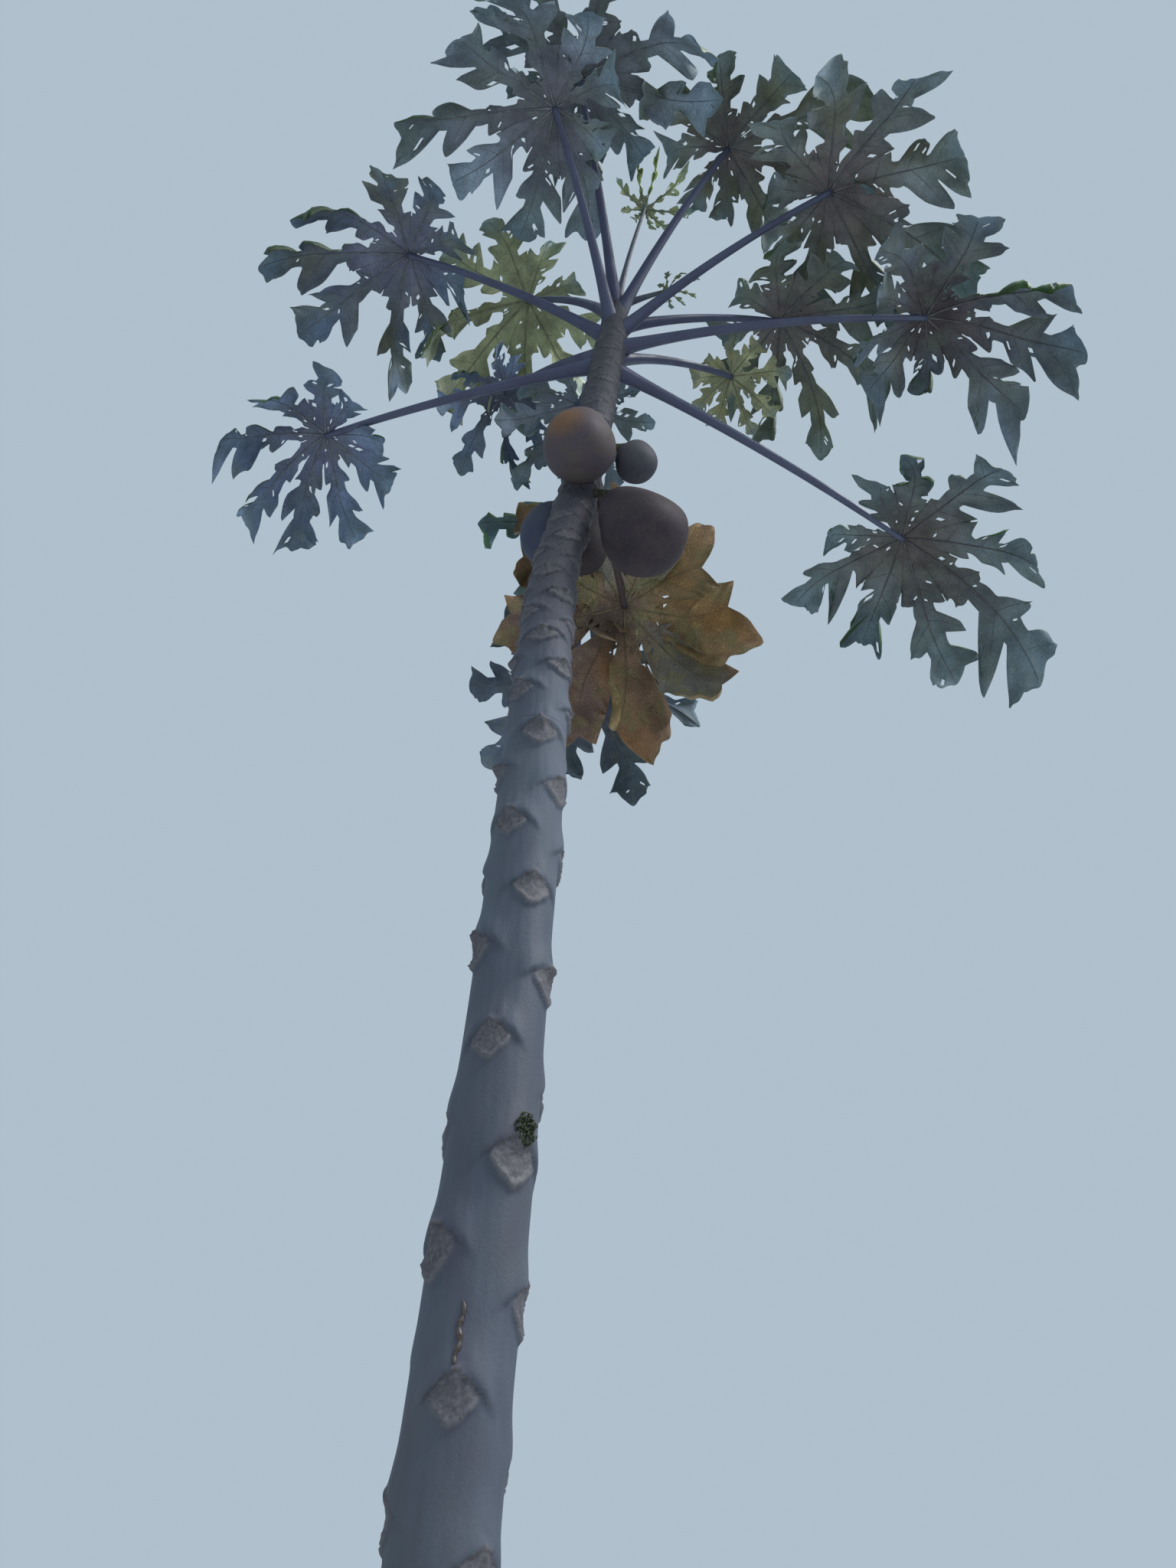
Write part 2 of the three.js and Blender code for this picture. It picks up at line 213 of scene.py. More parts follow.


# %% [markdown]
# ## From arrays to pieces
# A mesh is only points and the faces between them, so it can be filled from arrays in one go, which is
# far quicker than adding one face at a time. A tint or a share stored on each point goes along with it,
# for a material to read. Stalks, ribs and stems are all tubes, so one helper lays rings round any path.
# The last one gives a finished piece its material and puts it in the place of the solid that it stands for.

# %% Helpers for meshes
def mesh_piece(name, points, faces, colours=None, marks=None, ends=0):
    """A smooth mesh object from points, lists of equally long faces, and values for its points.

    The faces of the last lists, as many as ends says, are end faces and stay flat.
    """
    mesh = bpy.data.meshes.new(name)
    points = np.asarray(points, np.float32)
    mesh.vertices.add(len(points))
    mesh.vertices.foreach_set("co", points.ravel())
    corners = np.concatenate([np.asarray(group).ravel() for group in faces])
    sizes = np.concatenate([np.full(len(group), np.asarray(group).shape[1]) for group in faces])
    mesh.loops.add(len(corners))
    mesh.loops.foreach_set("vertex_index", corners.astype(np.int32))
    mesh.polygons.add(len(sizes))
    mesh.polygons.foreach_set("loop_start", (np.cumsum(sizes) - sizes).astype(np.int32))
    smooth = np.concatenate([np.full(len(group), k < len(faces) - ends) for k, group in enumerate(faces)])
    mesh.polygons.foreach_set("use_smooth", smooth)
    mesh.update(calc_edges=True)
    if colours is not None:
        tint = mesh.attributes.new("tint", "FLOAT_COLOR", "POINT")
        rgba = np.ones((len(points), 4), np.float32)
        rgba[:, :3] = colours
        tint.data.foreach_set("color", rgba.ravel())
    for mark, values in (marks or {}).items():
        layer = mesh.attributes.new(mark, "FLOAT", "POINT")
        layer.data.foreach_set("value", np.asarray(values, np.float32))
    made = bpy.data.objects.new(name, mesh)
    bpy.context.scene.collection.objects.link(made)
    return made


def joined(parts):
    """Several (points, faces, extra arrays) as one, with the faces renumbered."""
    points = np.concatenate([part[0] for part in parts])
    faces = []
    first = 0
    for part in parts:
        faces += [np.asarray(group) + first for group in part[1]]
        first += len(part[0])
    extras = [np.concatenate(column) for column in zip(*[part[2:] for part in parts])]
    return points, faces, *extras


def tube(path, radii, over, sides):
    """A closed tube along a path. over points away from the side that it lies on."""
    path = np.asarray(path, float)
    along = np.gradient(path, axis=0)
    along /= np.linalg.norm(along, axis=1)[:, None]
    side = np.cross(along, over)
    side /= np.linalg.norm(side, axis=1)[:, None]
    up = np.cross(side, along)
    turn = np.arange(sides) * 2 * np.pi / sides
    ring = side[:, None] * np.cos(turn)[None, :, None] + up[:, None] * np.sin(turn)[None, :, None]
    points = (path[:, None] + ring * np.asarray(radii)[:, None, None]).reshape(-1, 3)
    step = np.arange(len(path) - 1)[:, None] * sides
    here = step + np.arange(sides)[None]
    next_one = step + (np.arange(sides)[None] + 1) % sides
    walls = np.stack([here, next_one, next_one + sides, here + sides], -1).reshape(-1, 4)
    foot = np.arange(sides)[None, ::-1]
    head = np.arange(sides)[None] + (len(path) - 1) * sides
    return points, [walls, foot, head]


def clothe(piece, material, slot, *nodes):
    """Gives a piece its material and lets it ride in the place of the nodes it stands for. slot is not
    used.
    """
    piece.data.materials.clear()
    piece.data.materials.append(material)
    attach(piece, "root")
    if nodes:
        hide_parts(*nodes)
    return piece


# %% [markdown]
# ## Tools for materials
# Each finish is a small chain of nodes: a pattern on Object coordinates, a ramp that turns it into
# colour, and a bump that lets it catch the light. A few helpers keep those chains short to write.

# %% Helpers for materials
def new_material(name, roughness, specular):
    material = bpy.data.materials.new(name)
    material.use_nodes = True
    shader = material.node_tree.nodes["Principled BSDF"]
    shader.inputs["Roughness"].default_value = roughness
    shader.inputs["Specular IOR Level"].default_value = specular
    place = material.node_tree.nodes.new("ShaderNodeTexCoord")
    place.name = "place"
    return material


def add(material, kind, settings=(), **inputs):
    """Adds a node. Each input is a plain value, or (node, output) to be wired in."""
    tree = material.node_tree
    made = tree.nodes.new("ShaderNode" + kind)
    for key, value in dict(settings).items():
        setattr(made, key, value)
    for key, value in inputs.items():
        socket = made.inputs[int(key[1:])] if key[0] == "i" and key[1:].isdigit() else made.inputs[key]
        if isinstance(value, tuple) and len(value) == 2 and hasattr(value[0], "outputs"):
            tree.links.new(value[0].outputs[value[1]], socket)
        else:
            socket.default_value = value
    return made


def stretched(material, scale):
    """Object coordinates times a scale. A scale under 1 draws a pattern out along that axis."""
    place = material.node_tree.nodes["place"]
    return add(material, "Mapping", Vector=(place, "Object"), Scale=scale)


def noise(material, scale, detail, rough, stretch=(1, 1, 1)):
    """A cloudy pattern, coarse or fine by its scale."""
    where = stretched(material, stretch)
    return add(material, "TexNoise", Vector=(where, "Vector"), Scale=scale, Detail=detail, Roughness=rough)


def stepped(material, source, low, high, bottom=0.0, top=1.0):
    """A value that goes from bottom to top while its source goes from low to high."""
    made = add(material, "MapRange", {"interpolation_type": "SMOOTHSTEP"}, Value=source)
    made.inputs["From Min"].default_value = low
    made.inputs["From Max"].default_value = high
    made.inputs["To Min"].default_value = bottom
    made.inputs["To Max"].default_value = top
    return made


def mixed(material, share, first, second, blend="MIX"):
    """Two colours mixed, each plain or wired. share is a number or (node, output)."""
    return add(material, "Mix", {"data_type": "RGBA", "blend_type": blend}, i0=share, i6=first, i7=second)


def drifting_tint(material, cloud, low, high, darkest, lightest):
    """The tint stored on the points, made darker and lighter by a cloudy pattern."""
    tint = add(material, "Attribute", {"attribute_name": "tint"})
    light = stepped(material, (cloud, "Fac"), low, high, darkest, lightest)
    level = (light, "Result")
    grey = add(material, "CombineColor", Red=level, Green=level, Blue=level)
    return mixed(material, 1.0, (tint, "Color"), (grey, 0), "MULTIPLY")


def finish_material(material, colour, rough=None, heights=(), distance=0.001):
    """Wires colour, roughness and one bump after another into the shader."""
    tree = material.node_tree
    shader = tree.nodes["Principled BSDF"]
    tree.links.new(colour[0].outputs[colour[1]], shader.inputs["Base Color"])
    if rough is not None:
        tree.links.new(rough[0].outputs[rough[1]], shader.inputs["Roughness"])
    last = None
    for source, strength in heights:
        bump = add(material, "Bump", Height=source, Strength=strength, Distance=distance)
        if last is not None:
            tree.links.new(last.outputs["Normal"], bump.inputs["Normal"])
        last = bump
    if last is not None:
        tree.links.new(last.outputs["Normal"], shader.inputs["Normal"])


# %% [markdown]
# ## The trunk's form
# A papaya's trunk isn't wood all through, but a soft green pole with smooth skin. It narrows slowly, leans
# a little to the right and flares at the foot. The core line and girth below are those of the solids.

# %% Trunk curves
TRUNK_LEAN = [
    (0, 0), (1.69, 0.006), (2.175, 0.019), (2.7, 0.027), (3.24, 0.033), (3.5, 0.067), (3.855, 0.098),
    (4.125, 0.12), (4.29, 0.127),
]
TRUNK_GIRTH = [
    (0, 0.112), (0.07, 0.09), (0.2, 0.073), (0.5, 0.065), (1, 0.061), (2, 0.059), (2.42, 0.053),
    (2.7, 0.052), (3.19, 0.044), (3.41, 0.04), (3.86, 0.036), (4.1, 0.033), (4.22, 0.027), (4.29, 0.011),
]
TRUNK_TOP = TRUNK_GIRTH[-1][0]
BUD_HEIGHT = 0.008


def trunk_place(height):
    height = np.asarray(height, float)
    return np.stack([track(TRUNK_LEAN, height), np.zeros_like(height), height], -1)


def trunk_radius(height):
    return track(TRUNK_GIRTH, height)


print("trunk radius at head height:", round(float(trunk_radius(1.6)), 3), "m")


# %% [markdown]
# ## The leaf scars
# Each fallen leaf leaves a shield-shaped scar. The scars climb the trunk in a spiral, each turned by the
# same angle from the last. They stand wide apart on the lower trunk and crowd together near the crown,
# where the tree has grown slowly. The spiral is set so that it passes through the scars in the picture.

# %% Where the scars are
SCAR_TURN = -136.6  # degrees from one scar to the next one up
FIRST_SCAR = (1.837, -4.0)  # height and bearing of the lowest scar that the picture shows
SCAR_SPACING = [
    (0, 0.056), (1.84, 0.054), (2.1, 0.055), (2.3, 0.051), (2.45, 0.047), (2.6, 0.039), (2.75, 0.036),
    (2.9, 0.032), (3.0, 0.024), (3.1, 0.022), (3.3, 0.021), (3.7, 0.018), (4.3, 0.014),
]
SCAR_HALF_WIDTH = [(0, 0.036), (1.9, 0.031), (2.9, 0.030), (3.2, 0.029), (3.7, 0.026), (4.3, 0.018)]
SCAR_HALF_HEIGHT = [
    (0, 0.032), (1.9, 0.035), (2.5, 0.031), (2.85, 0.026), (3.05, 0.017), (3.4, 0.013), (4.3, 0.008),
]
SCAR_RELIEF = [
    (0, 0.25), (1.2, 0.5), (1.8, 1.0), (2.9, 1.0), (3.05, 0.9), (3.2, 0.8), (3.7, 0.55), (4.3, 0.3),
]
LOWEST_SCAR = 0.22
HIGHEST_SCAR = 4.2


def scar_rows():
    rows = []
    for way in (-1, 1):
        height, bearing = FIRST_SCAR
        if way > 0:
            height += float(track(SCAR_SPACING, height))
            bearing += SCAR_TURN
        while LOWEST_SCAR < height < HIGHEST_SCAR:
            rows.append((height, bearing))
            height += way * float(track(SCAR_SPACING, height))
            bearing += way * SCAR_TURN
    return sorted(rows)


SCARS = scar_rows()
print("leaf scars:", len(SCARS))


# %% [markdown]
# ## Relief of the trunk
# A smooth brow slopes down to both sides of a scar like a moustache and drops sharply on its lower edge,
# where a band of painted shade runs. Under the brow lies the shield, a rounded diamond with a thick raised
# rim round its lower point, and a knobbly dormant bud sits at its top. All of it is pushed out from the
# trunk's skin as a height in metres. The same loop notes how much of each point is shield, rim, bud or
# painted shade under the brow, so that the bark's colours can follow.

# %% Height of the relief
BROW = 0.0062
BROW_SLOPE = 0.62  # share of the shield's half height that it falls within the shield's half width
BROW_CURVE = 1.3  # the power by which it falls faster further out
BROW_ENDS = 1.6  # half widths from the middle at which it fades out
BROW_ABOVE = 0.95  # how far it reaches up, as a share of the half height
BROW_BELOW = 0.20  # and down
BROW_DIP = 0.3  # share by which it is lower in the middle
BROW_DIP_WIDTH = 0.25
CREASE_SHADE_DEPTH = 0.22  # how far the painted shade runs below the brow, as a share of the half height
CREASE_SHADE_WIDTH = 0.14
SHIELD = 0.0022
SHIELD_CORNER = 1.2  # 1 is a sharp diamond, 2 an ellipse
SHIELD_EDGE = (0.9, 1.08)  # between these shares of its half size the shield ends
SHIELD_BASE = 0.6
SHIELD_LUMPS = 0.9
SHIELD_GRAIN = 0.5
RIM = 0.0036
RIM_PLACE = 0.93
RIM_WIDTH = 0.16
RIM_BELOW = (-0.2, 0.35)  # depths below the centre, in half heights, between which the rim rises
BUD = 0.0100
BUD_SIZE = 0.0078
BUD_TALL = 1.25  # its height for its width
BUD_LEVEL = 0.66  # share of the shield's half height at which the bud sits
BUD_SPREAD = (0.35, 1.1)
NARROW_BUD_UNDER = 0.020  # half height of a scar under which its bud gets narrower
LOW_BUD_UNDER = 0.018  # and lower
MARKS = ("shield", "rim", "eye", "crease")


def brow_shape(wide, over, half_height):
    """The height of the brow, and the share of the painted shade under it."""
    fade = np.exp(-((wide / BROW_ENDS) ** 6))
    above = bell(np.maximum(over, 0), 0, half_height * BROW_ABOVE)
    below = bell(np.minimum(over, 0), 0, half_height * BROW_BELOW)
    brow = BROW * fade * (1 - BROW_DIP * bell(wide, 0, BROW_DIP_WIDTH)) * np.where(over > 0, above, below)
    # The share of painted shade below the brow: it darkens the bark and adds no relief.
    crease = fade * bell(over, -CREASE_SHADE_DEPTH * half_height, CREASE_SHADE_WIDTH * half_height)
    return brow, crease


def bud_shape(across, rise, half_height, number):
    """The height of the dormant bud, and the share of its dark eye."""
    size = BUD_SIZE * min(1.0, half_height / NARROW_BUD_UNDER)
    away = (across / size) ** 2 + ((rise - half_height * BUD_LEVEL) / (BUD_TALL * size)) ** 2
    bud = BUD * np.exp(-away) * draw(number + 0.6, *BUD_SPREAD) * min(1.0, half_height / LOW_BUD_UNDER)
    return bud, np.exp(-away * 4)


def scar_shape(across, rise, half_width, half_height, number):
    """The height of one scar, and the shares of its shield, rim, bud and painted shade, round its centre.
    """
    wide = np.abs(across) / half_width
    over = rise - half_height * (1.0 - BROW_SLOPE * wide**BROW_CURVE)
    brow, crease = brow_shape(wide, over, half_height)
    down = -rise / half_height
    edge = (wide**SHIELD_CORNER + np.abs(down) ** SHIELD_CORNER) ** (1 / SHIELD_CORNER)
    inside = 1 - ramp(edge, *SHIELD_EDGE)
    rim = bell(edge, RIM_PLACE, RIM_WIDTH) * ramp(down, *RIM_BELOW)
    lumps = 0.5 + 0.5 * np.sin(across * 760 + number) * np.sin(rise * 690 + 2 * number)
    grain = 0.5 + 0.5 * np.sin(across * 1500 + 3 * np.sin(rise * 900 + number))
    plate = SHIELD * inside * (SHIELD_BASE + SHIELD_LUMPS * lumps + SHIELD_GRAIN * grain)
    bud, eye = bud_shape(across, rise, half_height, number)
    return brow + plate + RIM * rim + bud, (inside, rim, eye, crease)


SCAR_REACH = 0.12  # a scar changes the skin no further than this above and below its centre
SCAR_WIDTH_SPREAD = (0.9, 1.1)
SCAR_HEIGHT_SPREAD = (0.88, 1.12)
SCAR_RELIEF_SPREAD = (0.85, 1.15)
SCAR_SKEW = 0.12
SCAR_RIPPLE = 0.0012
SCAR_FINE_RIPPLE = 0.0008
MARK_LEAST = 0.2  # added to the relief to get the strength of a scar's marks


def scar_relief(turn, height):
    """The relief and the marks at many points of the trunk, given by bearing and height."""
    lift = np.zeros_like(turn)
    marks = {name: np.zeros_like(turn) for name in MARKS}
    radius = trunk_radius(height)
    for number, (level, bearing) in enumerate(SCARS):
        near = np.abs(height[:, 0] - level) < SCAR_REACH
        if not near.any():
            continue
        half_width = float(track(SCAR_HALF_WIDTH, level)) * draw(number + 0.1, *SCAR_WIDTH_SPREAD)
        half_height = float(track(SCAR_HALF_HEIGHT, level)) * draw(number + 0.2, *SCAR_HEIGHT_SPREAD)
        relief = float(track(SCAR_RELIEF, level)) * draw(number + 0.3, *SCAR_RELIEF_SPREAD)
        away = np.remainder(turn[near] - math.radians(bearing) + np.pi, 2 * np.pi) - np.pi
        across = away * radius[near]
        skew = draw(number + 0.4, -SCAR_SKEW, SCAR_SKEW)
        rise = height[near] - level - skew * across
        rise = rise + SCAR_RIPPLE * np.sin(across * 420 + number)
        rise = rise + SCAR_FINE_RIPPLE * np.sin(across * 900 + 2 * number)
        raised, shares = scar_shape(across, rise, half_width, half_height, number)
        lift[near] += relief * raised
        depth = min(1.0, relief + MARK_LEAST)
        for name, share in zip(MARKS, shares):
            marks[name][near] = np.maximum(marks[name][near], depth * share)
    return lift, marks


SKIN_SWELLING = 0.0013
SKIN_FURROW = 0.0003
SKIN_WRINKLE = 0.0002
SKIN_RING = 0.0001
RING_HEIGHTS = (3.0, 3.3)  # heights between which fine rings begin
FOOT_RUN = 0.28  # height in which the flutes of the foot die away
FOOT_FLUTE = 0.006
FOOT_FINE_FLUTE = 0.0035


def skin_relief(turn, height):
    """Soft swellings and shallow furrows that run up the skin, strongest at the foot."""
    swelling = SKIN_SWELLING * np.sin(3 * turn + 0.8 * np.sin(1.7 * height))
    furrows = SKIN_FURROW * np.sin(7 * turn + 2.1 * height)
    foot = np.exp(-height / FOOT_RUN)
    flutes = FOOT_FLUTE * foot * np.sin(5 * turn + 0.6) + FOOT_FINE_FLUTE * foot * np.sin(9 * turn + 1.9)
    wrinkle = SKIN_WRINKLE * np.sin(23 * turn + 3 * np.sin(2.3 * height))
    wrinkle = wrinkle * np.sin(31 * height + 4 * np.sin(turn))
    rings = SKIN_RING * ramp(height, *RING_HEIGHTS) * np.sin(height * 520 + 2.5 * np.sin(2 * turn))
    return swelling + furrows + flutes + wrinkle + rings


print("brow, rim and bud stand out by", [round(1000 * height, 1) for height in (BROW, RIM, BUD)], "mm")


# %% [markdown]
# ## The trunk's skin
# A trunk could be spun from one outline, but here every point of the skin needs its own height. So rings
# of points are laid round the core line, and each point is moved out by the relief. The skin is made in
# three closed lengths that meet face to face, and its rows get finer towards the crown, as the scars do.

# %% Trunk mesh
TRUNK_COLUMNS = 132
TRUNK_CUTS = [0.0, 1.55, 2.85, 4.29]
TRUNK_ROWS = [0.0055, 0.0040, 0.0030]  # height of a row of faces in each length
FOOT_FADE = (-0.01, 0.06)  # heights between which the relief grows to full
TIP_FADE = 0.05  # length below the tip in which it fades out


def skin_faces(rows, columns):
    """The faces between the rings of the skin, and the fans that close it below and above."""
    spot = np.arange(columns)
    after = (spot + 1) % columns
    row = np.arange(rows)[:, None] * columns
    here = row + spot[None]
    beside = row + after[None]
    walls = np.stack([here, beside, beside + columns, here + columns], -1).reshape(-1, 4)
    top = rows * columns
    foot = (rows + 1) * columns
    base = np.stack([after, spot, np.full(columns, foot)], -1)
    lid = np.stack([top + spot, top + after, np.full(columns, foot + 1)], -1)
    return [walls, base, lid]


def trunk_section(low, high, row_height):
    """One length of the trunk's skin with its relief, closed below and above."""
    rows = int((high - low) / row_height)
    level = np.linspace(low, high, rows + 1)
    spin = np.arange(TRUNK_COLUMNS) * 2 * np.pi / TRUNK_COLUMNS
    height, turn = np.meshgrid(level, spin, indexing="ij")
    lift, marks = scar_relief(turn, height)
    lift = (lift + skin_relief(turn, height)) * np.minimum(1, (TRUNK_TOP - height) / TIP_FADE)
    lift = lift * ramp(height, *FOOT_FADE)
    radius = trunk_radius(height) + lift
    points = trunk_place(height)
    points[..., 0] += radius * np.sin(turn)
    points[..., 1] -= radius * np.cos(turn)
    tip = BUD_HEIGHT if high >= TRUNK_TOP else 0.0
    points = np.vstack([points.reshape(-1, 3), trunk_place(low), trunk_place(high) + [0, 0, tip]])
    marks = {name: np.concatenate([share.ravel(), [0, 0]]) for name, share in marks.items()}
    return points, skin_faces(rows, TRUNK_COLUMNS), marks


def make_trunk(material):
    made = []
    for number, (low, high, row) in enumerate(zip(TRUNK_CUTS, TRUNK_CUTS[1:], TRUNK_ROWS), 1):
        points, faces, marks = trunk_section(low, high, row)
        piece = mesh_piece(f"trunk_skin_{number}", points, faces, marks=marks, ends=2)
        made.append(clothe(piece, material, "trunk_bark", "trunk"))
    return made


# %% [markdown]
# ## Bark
# A papaya's skin is smooth and grey-green, and under an overcast sky it looks a dull blue-grey. Broad soft
# drifts of paler, purpler and more olive tone run up it. Towards the crown it turns browner and spotted.
# The shields of the scars are rough and a little warmer than the skin. Their rims are pale, partly in tone
# and partly as a painted highlight, the band under each brow is darkened with painted shade, and the buds
# of the crowded upper scars are dark. Those four shares were stored on the points, and everything else
# reads the place on the object.

# %% Bark material
BARK_BLUE = (0.082, 0.097, 0.130, 1)
BARK_GREY = (0.118, 0.139, 0.176, 1)
BARK_PURPLE = (0.092, 0.088, 0.120, 1)
BARK_OLIVE = (0.098, 0.110, 0.100, 1)
BARK_BROWN = (0.080, 0.073, 0.084, 1)
BARK_SOIL = (0.115, 0.100, 0.082, 1)
BARK_STREAK = (0.080, 0.078, 0.092, 1)
BARK_SPOT = (0.042, 0.036, 0.038, 1)
SHIELD_DARK = (0.110, 0.102, 0.114, 1)
SHIELD_PALE = (0.165, 0.154, 0.168, 1)
# The rims' own pale tone, made lighter still as a painted highlight.
RIM_PALE_AND_HIGHLIGHT = (0.165, 0.160, 0.175, 1)
# Painted shade for the band under each brow.
CREASE_PAINTED_SHADE = (0.044, 0.042, 0.052, 1)
EYE_DARK = (0.012, 0.010, 0.012, 1)
BROWN_HEIGHTS = (2.85, 3.35)  # metres up the trunk between which it turns brown
SPOT_HEIGHTS = (2.95, 3.2)  # and spotted
SOIL_HEIGHTS = (0.55, 0.0)


def bark_skin(bark, height, clouds):
    """The smooth skin's colour, from the soil up to the crown."""
    pale = stepped(bark, (clouds, "Fac"), 0.40, 0.64)
    skin = mixed(bark, (pale, "Result"), BARK_BLUE, BARK_GREY)
    drifts = noise(bark, 9, 4, 0.6, (1, 1, 0.3))
    purple = stepped(bark, (drifts, "Fac"), 0.46, 0.68, 0.0, 0.6)
    skin = mixed(bark, (purple, "Result"), (skin, 2), BARK_PURPLE)
    olive = stepped(bark, (noise(bark, 3.1, 3, 0.5, (1, 1, 0.7)), "Fac"), 0.5, 0.7, 0.0, 0.4)
    skin = mixed(bark, (olive, "Result"), (skin, 2), BARK_OLIVE)
    browner = stepped(bark, height, *BROWN_HEIGHTS, 0.0, 0.8)
    skin = mixed(bark, (browner, "Result"), (skin, 2), BARK_BROWN)
    soil = stepped(bark, height, *SOIL_HEIGHTS, 0.0, 0.75)
    return mixed(bark, (soil, "Result"), (skin, 2), BARK_SOIL)


def crown_spots(bark, skin, high_up):
    """The skin with the small dark spots that it has near the crown."""
    spots = add(bark, "TexVoronoi", Vector=(bark.node_tree.nodes["place"], "Object"), Scale=95)
    dots = stepped(bark, (spots, "Distance"), 0.30, 0.16)
    few = add(bark, "Math", {"operation": "MULTIPLY"}, i0=(dots, "Result"), i1=(high_up, "Result"))
    return mixed(bark, (few, 0), (skin, 2), BARK_SPOT)


def ragged_share(bark, mark, uneven, jagged, low, high, most):
    """How much of one of the stored shares shows, with a ragged edge."""
    stored = add(bark, "Attribute", {"attribute_name": mark})
    share = add(bark, "Math", {"operation": "MULTIPLY_ADD"}, i0=(uneven, 0), i1=jagged, i2=(stored, "Fac"))
    return stepped(bark, (share, 0), low, high, 0.0, most), "Result"


def scar_colours(bark, skin, high_up, speckle):
    """The skin with rough shields, pale rims with a painted highlight, painted shade under brows, and dark
    buds.
    """
    ragged = noise(bark, 60, 4, 0.6)
    uneven = add(bark, "Math", {"operation": "MULTIPLY_ADD"}, i0=(ragged, "Fac"), i1=0.7, i2=-0.35)
    rough_skin = mixed(bark, (speckle, "Result"), SHIELD_DARK, SHIELD_PALE)
    shield = ragged_share(bark, "shield", uneven, 1.0, 0.35, 0.85, 0.85)
    colour = mixed(bark, shield, (skin, 2), (rough_skin, 2))
    # The pale rims, partly their own tone and partly a painted highlight.
    rim = ragged_share(bark, "rim", uneven, 0.8, 0.3, 0.95, 0.7)
    colour = mixed(bark, rim, (colour, 2), RIM_PALE_AND_HIGHLIGHT)
    # Painted shade under the brows.
    crease = ragged_share(bark, "crease", uneven, 1.2, 0.35, 1.1, 0.55)
    colour = mixed(bark, crease, (colour, 2), CREASE_PAINTED_SHADE)
    eye = add(bark, "Attribute", {"attribute_name": "eye"})
    share = add(bark, "Math", {"operation": "MULTIPLY"}, i0=(eye, "Fac"), i1=(high_up, "Result"))
    return mixed(bark, (share, 0), (colour, 2), EYE_DARK)


def bark_material():
    bark = new_material("papaya_bark", 0.7, 0.35)
    place = bark.node_tree.nodes["place"]
    height = (add(bark, "SeparateXYZ", Vector=(place, "Object")), "Z")
    clouds = noise(bark, 7, 5, 0.6, (1, 1, 0.45))
    streaks = noise(bark, 34, 4, 0.6, (1, 1, 0.05))
    grain = noise(bark, 420, 3, 0.6, (1, 1, 0.4))
    speckle = stepped(bark, (noise(bark, 170, 3, 0.7), "Fac"), 0.42, 0.62)
    high_up = stepped(bark, height, *SPOT_HEIGHTS, 0.0, 0.75)
    skin = bark_skin(bark, height, clouds)
    lines = stepped(bark, (streaks, "Fac"), 0.48, 0.70, 0.0, 0.05)
    skin = mixed(bark, (lines, "Result"), (skin, 2), BARK_STREAK)
    skin = crown_spots(bark, skin, high_up)
    colour = scar_colours(bark, skin, high_up, speckle)
    rough = stepped(bark, (clouds, "Fac"), 0.3, 0.7, 0.55, 0.8)
    finish_material(
        bark,
        (colour, 2),
        (rough, "Result"),
        [((streaks, "Fac"), 0.02), ((grain, "Fac"), 0.3), ((speckle, "Result"), 0.12)],
        0.0015,
    )
    return bark


BARK = bark_material()
trunk_pieces = make_trunk(BARK)
print("trunk pieces:", [len(piece.data.polygons) for piece in trunk_pieces])


# %% [markdown]
# ## Two small things on the trunk
# A run of dried sap hangs above the lowest scar that shows, and a tuft of moss sits on top of another.
# The sap is a lumpy tube laid along the skin. The moss is a heap of tiny closed leaflets, each a
# stretched octahedron, since at that size only the heap's outline and its specks of light can be seen.

# %% Sap and moss
SAP_BEARING = -5.0
SAP_HEIGHTS = (1.868, 1.940)
SAP_RADIUS = 0.0024
SAP_THINNEST = 0.0005
SAP_WANDER = 1.6  # degrees to either side
SAP_RINGS = 22
SAP_SIDES = 10
SAP_DARK = (0.060, 0.042, 0.036, 1)
SAP_PALE = (0.110, 0.088, 0.080, 1)
MOSS_BEARING = 40.0
MOSS_HEIGHT = 2.150
MOSS_LEAFLETS = 260
MOSS_HALF_WIDTH = 0.016
MOSS_HALF_HEIGHT = 0.021
MOSS_DEPTH = (-0.002, 0.009)
MOSS_LEAFLET = (0.0025, 0.0045)
MOSS_LEAFLET_WIDTH = 0.0016
MOSS_LEAFLET_THICK = 0.0006
MOSS_GREEN = np.array([0.050, 0.070, 0.038])
MOSS_DRY = (0.085, 0.090, 0.050, 1)


def skin_place(bearing, height):
    """Where the trunk's relief is at one bearing and height, and the direction out of it."""
    turn = np.array([[math.radians(bearing)]])
    level = np.array([[height]])
    lift, _ = scar_relief(turn, level)
    outward = direction(bearing, 0)
    return trunk_place(height) + outward * float(trunk_radius(height) + lift[0, 0]), outward


def make_sap(material):
    levels = np.linspace(*SAP_HEIGHTS, SAP_RINGS)
    bearings = [SAP_BEARING + SAP_WANDER * math.sin(level * 190) for level in levels]
    path = np.array([skin_place(bearing, level)[0] for bearing, level in zip(bearings, levels)])
    share = np.linspace(0, 1, SAP_RINGS)
    radii = SAP_RADIUS * (0.35 + np.sin(np.pi * share) ** 0.5 + 0.35 * np.sin(share * 31))
    points, faces = tube(path, np.maximum(radii, SAP_THINNEST), direction(SAP_BEARING, 0), SAP_SIDES)
    clothe(mesh_piece("sap_run", points, faces, ends=2), material, "trunk_bark")


